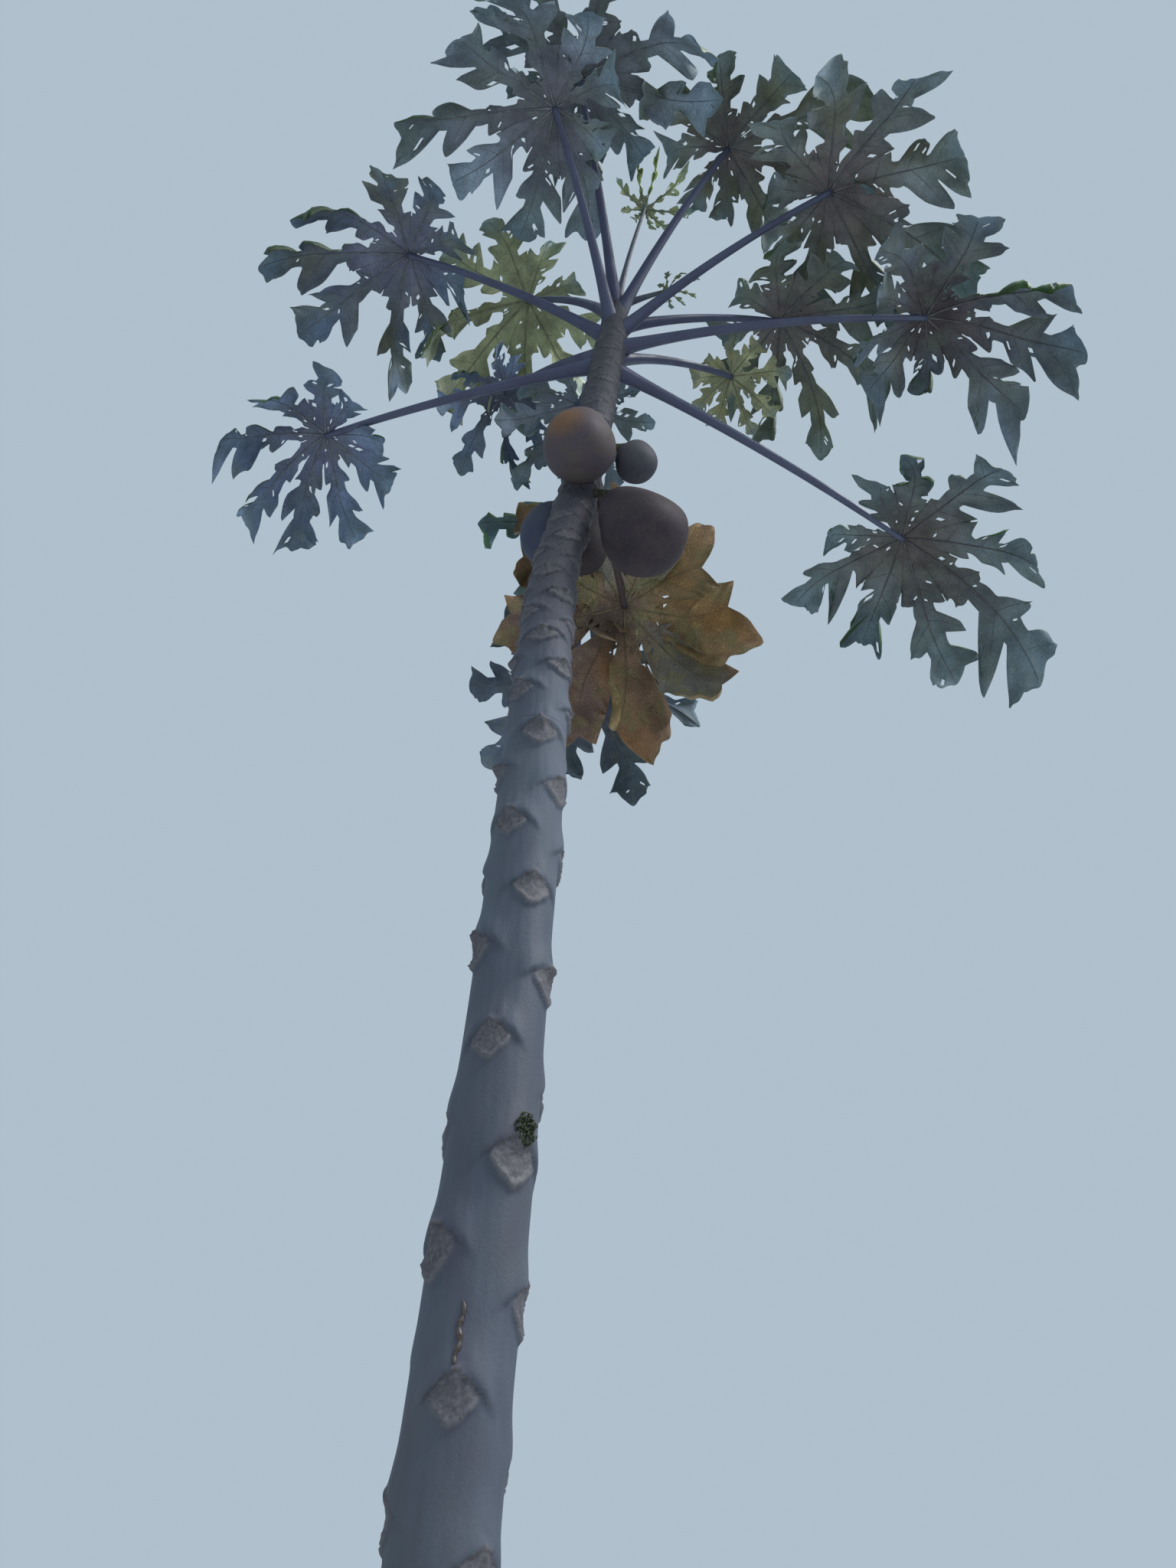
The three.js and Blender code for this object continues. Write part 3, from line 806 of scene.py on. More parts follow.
def make_moss(material):
    centre, outward = skin_place(MOSS_BEARING, MOSS_HEIGHT)
    beside = direction(MOSS_BEARING + 90, 0)
    star = np.array([(1, 0, 0), (-1, 0, 0), (0, 1, 0), (0, -1, 0), (0, 0, 1), (0, 0, -1)], float)
    sides = [(0, 2, 4), (2, 1, 4), (1, 3, 4), (3, 0, 4), (2, 0, 5), (1, 2, 5), (3, 1, 5), (0, 3, 5)]
    parts = []
    for number in range(MOSS_LEAFLETS):
        turn = draw(number + 0.15, 0, 2 * math.pi)
        far = draw(number + 0.25, 0, 1) ** 0.6
        place = centre + beside * MOSS_HALF_WIDTH * far * math.sin(turn)
        place = place + outward * draw(number + 0.35, *MOSS_DEPTH)
        place = place + np.array([0, 0, MOSS_HALF_HEIGHT * far * math.cos(turn)])
        grow = direction(MOSS_BEARING + draw(number + 0.45, -80, 80), draw(number + 0.55, -50, 70))
        wide = np.cross(grow, direction(draw(number + 0.65, 0, 360), 20))
        wide /= np.linalg.norm(wide)
        length = draw(number + 0.75, *MOSS_LEAFLET)
        thick = np.cross(grow, wide) * MOSS_LEAFLET_THICK
        shape = np.array([grow * length, wide * MOSS_LEAFLET_WIDTH, thick])
        shade = draw(number + 0.85, 0.6, 1.5)
        parts.append((place + star @ shape, [sides], np.tile(MOSS_GREEN * shade, (6, 1))))
    points, faces, colours = joined(parts)
    clothe(mesh_piece("moss_tuft", points, faces, colours), material, "trunk_bark")


def sap_material():
    sap = new_material("dried_sap", 0.3, 0.5)
    drift = noise(sap, 160, 4, 0.6)
    share = stepped(sap, (drift, "Fac"), 0.4, 0.62)
    colour = mixed(sap, (share, "Result"), SAP_DARK, SAP_PALE)
    rough = stepped(sap, (drift, "Fac"), 0.35, 0.65, 0.2, 0.5)
    finish_material(sap, (colour, 2), (rough, "Result"), [((drift, "Fac"), 0.5)])
    return sap


def moss_material():
    moss = new_material("moss", 0.85, 0.2)
    tint = add(moss, "Attribute", {"attribute_name": "tint"})
    drift = noise(moss, 300, 3, 0.6)
    share = stepped(moss, (drift, "Fac"), 0.4, 0.65, 0.0, 0.5)
    colour = mixed(moss, (share, "Result"), (tint, "Color"), MOSS_DRY)
    rough = stepped(moss, (drift, "Fac"), 0.35, 0.65, 0.7, 0.95)
    finish_material(moss, (colour, 2), (rough, "Result"), [((drift, "Fac"), 0.3)])
    return moss


make_sap(sap_material())
make_moss(moss_material())
print("sap from", SAP_HEIGHTS, "and", MOSS_LEAFLETS, "moss leaflets")


# %% [markdown]
# ## The leaves, as the solids have them
# One row for each leaf, from the youngest down: where its stalk leaves the trunk, how it rises and bows,
# and how the blade is turned, dipped and bent. Angles are in degrees and lengths in metres.

# %% Leaf rows
LEAF_FIELDS = (
    "name", "height", "bearing", "rise", "end_rise", "length", "heading", "dip", "reach", "droop", "seed",
    "kind",
)
LEAF_ROWS = [
    ("01", 4.25, 42.1, 82.5, 70.5, 0.35, 20, -50, 0.14, 55, 6, "young"),
    ("02", 4.24, 85.8, 36.2, 26.2, 0.12, 60, -30, 0.07, 55, 17, "young"),
    ("03", 4.21, -19.7, 65.4, 41.4, 0.57, 55, 2, 0.42, 38, 5, "green"),
    ("04", 4.18, -123.9, 66.7, 36.7, 0.42, -132, 24, 0.37, 36, 3, "green"),
    ("05", 4.17, 53.2, 66.6, 48.6, 0.57, 62, 2, 0.38, 36, 7, "green"),
    ("06", 4.14, 106, 45.6, 21.6, 0.5, 100, 12, 0.38, 50, 10, "green"),
    ("07", 4.12, -26.9, 60, 38, 0.52, -90, 0, 0.41, 36, 4, "green"),
    ("08", 4.1, 70.7, 48.2, 26.2, 0.64, 65, 4, 0.42, 38, 8, "green"),
    ("09", 4.09, -89.1, 43.8, 21.8, 0.58, -84, 6, 0.36, 38, 1, "green"),
    ("10", 4.035, -138.9, 48.6, 24.6, 0.47, -135, 26, 0.25, 50, 19, "green"),
    ("11", 4.05, 87.3, 24.7, -1.3, 0.72, 88, 4, 0.39, 40, 9, "green"),
    ("12", 4, 123.9, 52.5, 26.5, 0.46, 150, 30, 0.2, 50, 18, "green"),
    ("13", 3.99, -104.1, -0.6, -16.6, 0.63, -115, 20, 0.31, 55, 2, "green"),
    ("14", 3.98, 111.6, -7, -23, 0.75, 112, 18, 0.44, 40, 11, "green"),
    ("15", 3.93, -167.7, 60, 38, 0.43, -178, 22, 0.28, 45, 12, "green"),
    ("16", 3.84, -172.2, 26.5, 2.5, 0.42, -150, 10, 0.25, 45, 16, "green"),
    ("17", 3.76, 178.7, 26.2, 0.2, 0.45, -176, 50, 0.23, 50, 14, "yellow"),
    ("18", 3.64, 168, 21.5, -4.5, 0.45, 172, 44, 0.33, 24, 13, "yellow"),
    ("19", 3.7, -178.8, 15.4, -8.6, 0.7, -172, 46, 0.39, 50, 15, "green"),
]
LEAVES = [dict(zip(LEAF_FIELDS, row)) for row in LEAF_ROWS]
print("leaves:", len(LEAVES))


# %% [markdown]
# ## Stalks
# A papaya's leaf stalk is a smooth hollow pipe as long as the blade is wide. It is swollen where it clasps
# the trunk, thins towards the blade and bows evenly under the weight. Low ridges run along it, so the
# rings of the tube are not quite round.

# %% Stalk curve and mesh
STALK_ROOT = 0.0125
STALK_TIP = 0.007
STALK_SWELL = 0.5
STALK_SWELL_START = 0.04
STALK_SWELL_RUN = 0.06
STALK_OVERRUN = 0.003
YOUNG_STALK = 0.55
STALK_SIDES = 20
STALK_STEPS = 56
STALK_SPACING = 1.15  # over 1 sets the rings closer at the root, where the stalk narrows fast
STALK_RIDGES = 0.035  # share of the radius
STALK_FINE_RIDGES = 0.02


def stalk_length(leaf):
    return leaf["length"] + float(trunk_radius(leaf["height"]))


def stalk_at(leaf, share):
    """Places and directions at many shares of the stalk's length."""
    start = math.radians(leaf["rise"])
    turn = math.radians(leaf["end_rise"] - leaf["rise"])
    now = start + turn * np.asarray(share, float)
    size = stalk_length(leaf) / turn
    outward = direction(leaf["bearing"], 0)
    place = trunk_place(leaf["height"]) + (size * (np.sin(now) - math.sin(start)))[..., None] * outward
    place[..., 2] += size * (math.cos(start) - np.cos(now))
    along = np.cos(now)[..., None] * outward
    along[..., 2] += np.sin(now)
    return place, along


def stalk_radius(leaf, reached):
    taper = STALK_ROOT + (STALK_TIP - STALK_ROOT) * reached / stalk_length(leaf)
    past = np.maximum(reached - STALK_SWELL_START, 0)
    swell = 1 + STALK_SWELL * np.exp(-past / STALK_SWELL_RUN)
    return taper * swell * (YOUNG_STALK if leaf["kind"] == "young" else 1)


def stalk_tube(leaf):
    """The points and faces of a stalk, and the share of its length that each point has reached."""
    run = stalk_length(leaf) + STALK_OVERRUN
    reached = run * np.linspace(0, 1, STALK_STEPS + 1) ** STALK_SPACING
    path, _ = stalk_at(leaf, reached / stalk_length(leaf))
    side = direction(leaf["bearing"] + 90, 0)
    over = np.cross(direction(leaf["bearing"], 45), side)
    points, faces = tube(path, stalk_radius(leaf, reached), over, STALK_SIDES)
    turn = np.tile(np.arange(STALK_SIDES) * 2 * np.pi / STALK_SIDES, STALK_STEPS + 1)
    axis = np.repeat(path, STALK_SIDES, axis=0)
    coarse = STALK_RIDGES * np.sin(5 * turn + leaf["seed"])
    fine = STALK_FINE_RIDGES * np.sin(9 * turn + 2 * leaf["seed"])
    points = axis + (points - axis) * (1 + coarse + fine)[:, None]
    return points, faces, np.repeat(reached / run, STALK_SIDES)


longest = max(LEAVES, key=stalk_length)
print("the longest stalk:", longest["name"], round(stalk_length(longest), 3), "m")


# %% [markdown]
# ## Colour of the stalks
# Seen from below, a stalk is a dull bluish purple, dark at its root and paler at the blade. It is greener
# on the young leaves and brown on the old ones. That tone is stored on the points. The material breaks it
# up with a purple blush and pale flecks, and keeps the slight gloss of a smooth skin.

# %% Stalk colours and pieces
STALK_DARK = np.array([0.078, 0.090, 0.160])
STALK_PALE = np.array([0.115, 0.140, 0.225])
STALK_YOUNG = np.array([0.120, 0.145, 0.160])
STALK_OLD = np.array([0.090, 0.066, 0.062])
STALK_PALER_FROM = 0.2  # share of the length from which it gets paler
STALK_PALENESS = (0.25, 0.7)
YOUNG_PALENESS = 0.5
STALK_BLUSH = (0.080, 0.074, 0.130, 1)
STALK_FLECK = (0.16, 0.18, 0.23, 1)


def stalk_colour(leaf, share):
    """Brown on old leaves. Otherwise darker at the root, paler at the blade, and greener on young ones."""
    if leaf["kind"] == "yellow":
        return np.tile(STALK_OLD, (len(share), 1))
    young = leaf["kind"] == "young"
    paleness = draw(leaf["seed"] + 0.8, *STALK_PALENESS)
    mixture = paleness * ramp(share, STALK_PALER_FROM, 1.0) + (YOUNG_PALENESS if young else 0)
    return blended(STALK_DARK, STALK_YOUNG if young else STALK_PALE, mixture[:, None])


def stalk_material():
    skin = new_material("papaya_stalk", 0.45, 0.4)
    tint = add(skin, "Attribute", {"attribute_name": "tint"})
    blush = noise(skin, 18, 4, 0.55)
    share = stepped(skin, (blush, "Fac"), 0.42, 0.68, 0.0, 0.5)
    colour = mixed(skin, (share, "Result"), (tint, "Color"), STALK_BLUSH)
    flecks = noise(skin, 260, 2, 0.5)
    pale = stepped(skin, (flecks, "Fac"), 0.60, 0.72, 0.0, 0.35)
    colour = mixed(skin, (pale, "Result"), (colour, 2), STALK_FLECK)
    rough = stepped(skin, (blush, "Fac"), 0.3, 0.7, 0.35, 0.55)
    finish_material(skin, (colour, 2), (rough, "Result"), [((flecks, "Fac"), 0.25), ((blush, "Fac"), 0.2)])
    return skin


STALK_SKIN = stalk_material()
for leaf in LEAVES:
    points, faces, share = stalk_tube(leaf)
    piece = mesh_piece(f"petiole_{leaf['name']}", points, faces, stalk_colour(leaf, share))
    clothe(piece, STALK_SKIN, "stalk", f"stalk_{leaf['name']}")
print("stalks:", len(LEAVES), "of", STALK_SIDES * STALK_STEPS, "faces each")


# %% [markdown]
# ## The rule of a blade
# A papaya leaf is a hand of about nine lobes round the stalk's end. The lobes in front are the longest.
# This cell repeats the rule of the solids: each lobe's angle, length, droop and sideways sweep, the
# sector that it keeps to, and the way in which the flat leaf is bent down along every rib. The three
# kinds differ in their lobes' width and waves, how far the lobes are grown together, and where insects
# have bitten them.

# %% Lobes
LOBE_SHARES = (0.4, 0.64, 0.84, 0.96, 1, 0.96, 0.84, 0.64, 0.4)
LOBE_STEP = 38
LOBE_LIMIT = 172
CUP = math.radians(4)
TURN_SPREAD = 5
REACH_SPREAD = (0.9, 1.08)
DROOP_SPREAD = (0.6, 1.4)
SWEEP_SPREAD = 14
KINDS = {
    "green": {
        "width": 1.14, "neck": 0.036, "wing": 0.034, "finger": 1.0, "end": 0.25, "web": 0.21, "lap": 0.0,
        "middle": 0.004, "wavy": 1.0, "holes": (0.1, 0.8),
    },
    "yellow": {
        "width": 1.5, "neck": 0.062, "wing": 0.270, "finger": 0.5, "end": 0.12, "web": 0.17, "lap": 0.028,
        "middle": 0.004, "wavy": 1.0, "holes": (0.08, 0.32),
    },
    "young": {
        "width": 0.9, "neck": 0.022, "wing": 0.020, "finger": 1.0, "end": 0.25, "web": 0.14, "lap": 0.0,
        "middle": 0.002, "wavy": 1.8, "holes": (0.1, 0.8),
    },
}
# Leaves whose lobes are broader than their kind's, and by how much.
BROADER = {"05": 1.2, "06": 1.15, "08": 1.25, "09": 1.2, "11": 1.15, "13": 1.3, "14": 1.1, "16": 1.9}
# Lobes that the picture shows longer or shorter than the spread makes them: leaf, then lobe and share.
LOBE_CHANGES = {
    "03": {6: 0.7, 7: 0.8},
    "05": {2: 0.8, 3: 0.7, 6: 0.8, 7: 0.65},
    "07": {2: 0.8, 3: 0.7, 5: 0.65},
    "08": {4: 0.82},
    "11": {5: 0.82, 6: 0.55, 7: 0.85},
    "12": {5: 0.7, 6: 0.7, 7: 0.8},
    "13": {3: 0.85},
    "14": {3: 0.8, 5: 0.92, 6: 0.7},
    "16": {5: 0.5, 6: 1.2},
    "17": {0: 1.9, 1: 1.4, 7: 1.4, 8: 1.9},
    "18": {2: 0.87},
    "19": {4: 0.75},
}


def lobes_of(leaf):
    middle = (len(LOBE_SHARES) - 1) / 2
    changes = LOBE_CHANGES.get(leaf["name"], {})
    lobes = []
    for k, share in enumerate(LOBE_SHARES):
        key = leaf["seed"] * 17 + k
        lobes.append({
            "key": key,
            "number": k,
            "share": share,
            "open_side": {0: -1, len(LOBE_SHARES) - 1: 1}.get(k, 0),
            "angle": math.radians((k - middle) * LOBE_STEP + draw(key, -TURN_SPREAD, TURN_SPREAD)),
            "reach": leaf["reach"] * share * draw(key + 0.3, *REACH_SPREAD) * changes.get(k, 1),
            "droop": leaf["droop"] * draw(key + 0.5, *DROOP_SPREAD),
            "sweep": math.radians(draw(key + 0.7, -SWEEP_SPREAD, SWEEP_SPREAD)),
        })
    between = [(a["angle"] + b["angle"]) / 2 for a, b in zip(lobes, lobes[1:])]
    ends = [-math.radians(LOBE_LIMIT), *between, math.radians(LOBE_LIMIT)]
    for lobe, low, high in zip(lobes, ends, ends[1:]):
        lobe["low"] = low - lobe["angle"]
        lobe["high"] = high - lobe["angle"]
    return lobes


def bent(leaf, lobes, flat, lift):
    """Sets flat points of a blade in the crown: bent down along its ribs, and lifted off its sheet."""
    end = stalk_at(leaf, 1.0)[0]
    ahead = direction(leaf["heading"], -leaf["dip"])
    up = direction(leaf["heading"], 90 - leaf["dip"])
    left = np.cross(up, ahead)
    far = np.hypot(flat[..., 0], flat[..., 1])
    angle = np.arctan2(flat[..., 1], flat[..., 0])
    droop = np.interp(angle, [lobe["angle"] for lobe in lobes], [lobe["droop"] for lobe in lobes])
    bend = np.radians(droop) / leaf["reach"]
    out = (np.sin(CUP + bend * far) - math.sin(CUP)) / bend
    drop = (math.cos(CUP) - np.cos(CUP + bend * far)) / bend
    flatly = (out * np.cos(angle))[..., None] * ahead + (out * np.sin(angle))[..., None] * left
    return end + flatly + (lift - drop)[..., None] * up


# %% [markdown]
# ## Cutting a lobe
# A lobe is narrow near the stalk, so the sky shows in small gaps round the centre. Further out it carries
# three blunt side lobes on each side, which lean forward, and it ends in a point. The sheet is laid out
# as slanted lines that leave the rib like its side veins. The length of each line draws the outline, so
# the side lobes lean by themselves. Where a line would pass into the next lobe's sector, it stops. Only
# the broad lobes of the old leaves lap over each other a little. Near the hub the lobes are grown
# together in a web, which reaches further between some lobes than between others.

# %% Outline of a lobe
# Each side lobe's place on the rib, its reach and half its width, as shares of the lobe's length.
SIDE_LOBES = ((0.33, 0.12, 0.075), (0.565, 0.265, 0.100), (0.790, 0.225, 0.090))
SIDE_SHIFT = 0.035  # how far one side's lobes shift together
PLACE_SPREAD = 0.022
REACH_VARIETY = (0.4, 1.2)
WIDTH_VARIETY = (0.82, 1.2)
FIXED_WIDTH = 0.55  # the part of a lobe's width that is the same for all
GROWING_WIDTH = 0.45  # the part that grows with its length
WING_SPAN = (0.22, 0.58)
FINGER_POINT = (1.8, 2.6)  # the power that shapes a side lobe's end, from sharp to blunt
FINGER_LEAN = 1.2  # how much steeper its forward side is
FINGER_TIP = 0.20  # share of a side lobe that is its drawn-out point
FINGER_TIP_WIDTH = 0.1
TIP_START = 0.875
TIP_RUN = 0.125
TIP_HALF_WIDTH = 0.135
TEETH = 0.04
SLIT = 0.0012
WEB_LAP = 0.0008
WEB_LINE = 0.5  # long enough to reach the next lobe
WEB_EDGE = 0.012
WEB_SPREAD = (0.5, 1.5)
WEB_MOST = 0.72
SLANT_AT_BASE = math.radians(68)
SLANT_AT_TIP = math.radians(44)


def finger(t, point):
    """A side lobe from -1 to 1: broad at its foot, sharp or blunt at its end, and leaning forward."""
    t = np.abs(np.where(t > 0, t * FINGER_LEAN, t))
    body = np.maximum(0, 1 - t**point) ** 0.55
    return (1 - FINGER_TIP) * body + FINGER_TIP * np.exp(-t / FINGER_TIP_WIDTH)


def pointed(t):
    """A leaf's tip: full at the foot and drawn out to a point at 1."""
    return np.sqrt(np.clip((t + 1) / 0.7, 0, 1)) * np.clip((1 - t) / 1.3, 0, 1) ** 0.85


def side_key(lobe, side):
    """The key from which all numbers for one side of a lobe's outline are drawn."""
    return lobe["key"] * 3.1 + side


def side_lobe_place(key, number):
    """Where on the rib a side lobe stands, as a share of the lobe's length."""
    shift = draw(key + 0.11, -SIDE_SHIFT, SIDE_SHIFT)
    return SIDE_LOBES[number][0] + shift + draw(key + number * 0.37, -PLACE_SPREAD, PLACE_SPREAD)


def web_of(leaf, lobe, side):
    """The share of the lobe's length within which it is grown together with its neighbour on one side."""
    border = lobe["number"] + (side + 1) // 2
    web = KINDS[leaf["kind"]]["web"] * draw(leaf["seed"] * 5.3 + border, *WEB_SPREAD)
    return min(web * leaf["reach"] / lobe["reach"] * 0.95, WEB_MOST)


def half_outline(leaf, lobe, share, side):
    """Length of the slanted lines on one side of the rib, as a share of the leaf's reach."""
    kind = KINDS[leaf["kind"]]
    broad = kind["width"] * BROADER.get(leaf["name"], 1)
    size = broad * (FIXED_WIDTH + GROWING_WIDTH * lobe["share"])
    key = side_key(lobe, side)
    wing = kind["neck"] + kind["wing"] * ramp(share, *WING_SPAN)
    wing = wing * np.clip((1 - share) / kind["end"], 0, 1) ** 0.7
    length = wing * size
    for number, (_, reach, half) in enumerate(SIDE_LOBES):
        at = side_lobe_place(key, number)
        tall = kind["finger"] * reach * size * draw(key + number * 0.53, *REACH_VARIETY)
        wide = half * draw(key + number * 0.71, *WIDTH_VARIETY)
        point = draw(key + number * 0.91, *FINGER_POINT)
        length = np.maximum(length, wing * size * 0.5 + tall * finger((share - at) / wide, point))
    length = np.maximum(length, TIP_HALF_WIDTH * size * pointed((share - TIP_START) / TIP_RUN))
    ripple = np.sin(share * 31 + key) + 0.7 * np.sin(share * 57 + 2.3 * key)
    length = length * (1 + TEETH * ripple)
    if side == lobe["open_side"]:
        return length
    web = web_of(leaf, lobe, side)
    return np.where(share < web, WEB_LINE, length + WEB_LINE * np.exp(-(share - web) / WEB_EDGE))


def line_limit(rib, slant, edge, side, web, lap):
    """How far a slanted line may go. In the web the lobes join, and broad lobes lap over each other."""
    normal = np.array([-math.sin(edge), math.cos(edge)]) * side
    ahead = np.stack([np.cos(slant), np.sin(slant)], -1)
    gap = np.where(rib[:, 0] < web, WEB_LAP, lap - SLIT) - rib @ normal
    pace = np.maximum(ahead @ normal, 0.05)
    return np.maximum(gap / pace, 0.0004)


# %% [markdown]
# ## The blade as a thin shell
# The sheet is not flat. Each half folds up a little from the rib, its margin curls down and waves, and
# the tip hooks over. Insects have bitten small holes in it. Two layers a little apart make the upper and
# the lower face, and a wall closes every edge between them, the holes' edges too. So each face can have
# its own colour: deep green above, paler and duller below.

# %% Lobe mesh
HALF_THICK = 0.0006
MARGIN_THINNING = 0.6  # share by which the blade is thinner at the margin
RIB_START = 0.0005
LOBE_ROW = 0.0045
LOBE_ROWS = (20, 96)  # the fewest and the most rows in a lobe
LINE_STEPS = (0.25, 0.5, 0.76, 1.0)
TIP_FLICK = 0.18
FLICK_START = 0.55
FLICK_RUN = 0.45
FOLD = (0.05, 0.35)  # radians that each half rises from the rib
MARGIN_ROLL = (0.2, 1.3)  # radians that each half rolls down on its way to the margin
TIGHT_ROLL = (1.4, 2.3)
TIGHT_CHANCE = 0.22
TILT = 0.8  # radians by which a lobe may be turned about its rib
TILT_SPAN = (0.25, 0.9)
WAVE = (0.04, 0.12)
TIP_HOOK = (0.0, 0.5)
HOOK_START = 0.68
HOOK_RUN = 0.32
HOOK_DEPTH = 0.3
HOLES = 7
HOLE_CHANCE = 0.5
HOLE_CROWDING = 1.2  # over 1 brings the holes closer to the hub
HOLE_LEAST_ROWS = 24  # a lobe needs more rows than this to have holes


def rolled(length, start, roll):
    """How far out and how far up a strip ends that starts at one angle and rolls down by another."""
    roll = np.maximum(roll, 0.001)
    out = length * (np.sin(start) - np.sin(start - roll)) / roll
    rise = length * (np.cos(start - roll) - np.cos(start)) / roll
    return out, rise


def rib_line(leaf, lobe, share):
    """The rib's flat path, swept to one side and flicked at its tip, and its heading along the way."""
    x = share * lobe["reach"] + RIB_START
    late = np.clip((share - FLICK_START) / FLICK_RUN, 0, 1)
    flick = draw(lobe["key"] + 0.57, -TIP_FLICK, TIP_FLICK)
    aside = lobe["sweep"] / 2 * leaf["reach"] * (x / leaf["reach"]) ** 2 + flick * lobe["reach"] * late**2
    heading = np.arctan(lobe["sweep"] * x / leaf["reach"] + 2 * flick * late / FLICK_RUN)
    return np.stack([x, aside], -1), heading


def half_sheet(leaf, lobe, share, rib, lean, side):
    """The flat places and lifts of one half of a lobe, from beside the rib out to the margin."""
    kind = KINDS[leaf["kind"]]
    web = web_of(leaf, lobe, side)
    ease = ramp(share, max(0.1, 0.7 * web), web + 0.2)
    key = lobe["key"] * 1.7 + side
    edge = lobe["low"] if side < 0 else lobe["high"]
    heading = lean + side * (SLANT_AT_BASE + (SLANT_AT_TIP - SLANT_AT_BASE) * share)
    limit = line_limit(rib, heading, edge, side, 0.95 * web * lobe["reach"], kind["lap"])
    length = np.minimum(half_outline(leaf, lobe, share, side) * leaf["reach"], limit)
    tight = draw(lobe["key"] + 0.29, 0, 1) < TIGHT_CHANCE
    roll = draw(key + 0.43, *(TIGHT_ROLL if tight else MARGIN_ROLL)) * kind["wavy"] * ease
    tilt = side * draw(lobe["key"] + 0.33, -TILT, TILT) * ramp(share, *TILT_SPAN)
    start = (draw(key + 0.21, *FOLD) + tilt) * ease
    wave = draw(key + 0.65, *WAVE) * kind["wavy"]
    phase = draw(key + 0.87, 0, 6.3)
    ripple = wave * np.sin(share * 19 + phase) + 0.5 * wave * np.sin(share * 41 + 2 * phase)
    fan = np.stack([np.cos(heading), np.sin(heading)], -1)
    places, lifts = [], []
    for part in LINE_STEPS:
        run, rise = rolled(part * length, start, roll * part)
        places.append(rib + run[:, None] * fan)
        lifts.append(rise + 2 * ease * ripple * part**2 * length)
    return places, lifts


def lobe_sheet(leaf, lobe):
    """The flat places and lifts of a lobe's grid: rows along the rib, columns from edge to edge."""
    rows = int(np.clip(lobe["reach"] / LOBE_ROW, *LOBE_ROWS))
    share = np.linspace(0.0, 1.0, rows + 1)
    rib, lean = rib_line(leaf, lobe, share)
    right, right_lifts = half_sheet(leaf, lobe, share, rib, lean, -1)
    left, left_lifts = half_sheet(leaf, lobe, share, rib, lean, 1)
    flat = np.stack([*right[::-1], rib, *left], 1)
    lift = np.stack([*right_lifts[::-1], np.zeros(rows + 1), *left_lifts], 1)
    hook = draw(lobe["key"] + 0.91, *TIP_HOOK) * KINDS[leaf["kind"]]["wavy"]
    hooked = np.clip((share - HOOK_START) / HOOK_RUN, 0, 1)[:, None] ** 2
    lift = lift - hook * lobe["reach"] * hooked * HOOK_DEPTH
    turned = np.array([
        [math.cos(lobe["angle"]), math.sin(lobe["angle"])],
        [-math.sin(lobe["angle"]), math.cos(lobe["angle"])],
    ])
    return share, flat @ turned, lift


def bitten(leaf, lobe, rows, columns):
    """Which cells of the grid are there. A few inner ones have been eaten, on old leaves near the hub."""
    first, run = KINDS[leaf["kind"]]["holes"]
    keep = np.ones((rows, columns), bool)
    for bite in range(HOLES):
        key = lobe["key"] * 2.9 + bite * 0.77
        if draw(key, 0, 1) < HOLE_CHANCE and rows > HOLE_LEAST_ROWS:
            row = int((first + run * draw(key + 0.2, 0, 1) ** HOLE_CROWDING) * rows)
            inward = int(draw(key + 0.4, 1, 2.99))
            column = inward if draw(key + 0.5, 0, 1) < 0.5 else columns - 1 - inward
            tall = 1 + int(draw(key + 0.6, 0, 1.6))
            keep[row : row + tall, column] = False
    return keep


def shell(top, low, keep):
    """Two layers of a grid and the walls round every edge of what is kept."""
    rows, columns = top.shape[:2]
    count = rows * columns
    number = np.arange(count).reshape(rows, columns)
    a = number[:-1, :-1][keep]
    b = number[1:, :-1][keep]
    c = number[1:, 1:][keep]
    d = number[:-1, 1:][keep]
    upper = np.stack([a, b, c, d], -1)
    lower = np.stack([d, c, b, a], -1) + count
    wide = np.pad(keep, 1)
    inner = wide[1:-1, 1:-1]
    walls = []
    for shift, first, second in (
        ((-1, 0), number[:-1, :-1], number[:-1, 1:]),
        ((1, 0), number[1:, 1:], number[1:, :-1]),
        ((0, -1), number[1:, :-1], number[:-1, :-1]),
        ((0, 1), number[:-1, 1:], number[1:, 1:]),
    ):
        down, across = shift
        beside = wide[1 + down : wide.shape[0] - 1 + down, 1 + across : wide.shape[1] - 1 + across]
        open_edge = inner & ~beside
        p = first[open_edge]
        q = second[open_edge]
        walls.append(np.stack([p, q, q + count, p + count], -1))
    return np.concatenate([top.reshape(-1, 3), low.reshape(-1, 3)]), [upper, lower, np.concatenate(walls)]


# %% [markdown]
# ## Colours of the leaves
# The colours that have a place are dealt out leaf by leaf and lobe by lobe. Seen from below, a leaf is
# brown or dull blue round its stalk's end, partly its own tone and partly painted shade. It turns a grey
# green further out, and its tips and margins are lighter and bluer with painted light of the sky shining
# through them. The youngest leaves, one on the left, and one behind the crown are yellow-green, the last
# two partly with painted light shining through. The two oldest mix brown, olive, gold and amber from lobe
# to lobe, their hubs are darkened with painted shade, and their margins are fading.

# %% Leaf colours
UNDER_GREEN = np.array([0.228, 0.278, 0.360])
UPPER_GREEN = np.array([0.030, 0.075, 0.022])
BLUER = np.array([0.160, 0.220, 0.350])
OLIVE = np.array([0.180, 0.185, 0.105])
MOSSY = np.array([0.185, 0.245, 0.190])
# Painted light of the sky shining through the tips and margins.
PAINTED_SKYLIGHT_BLUE = np.array([0.225, 0.335, 0.430])
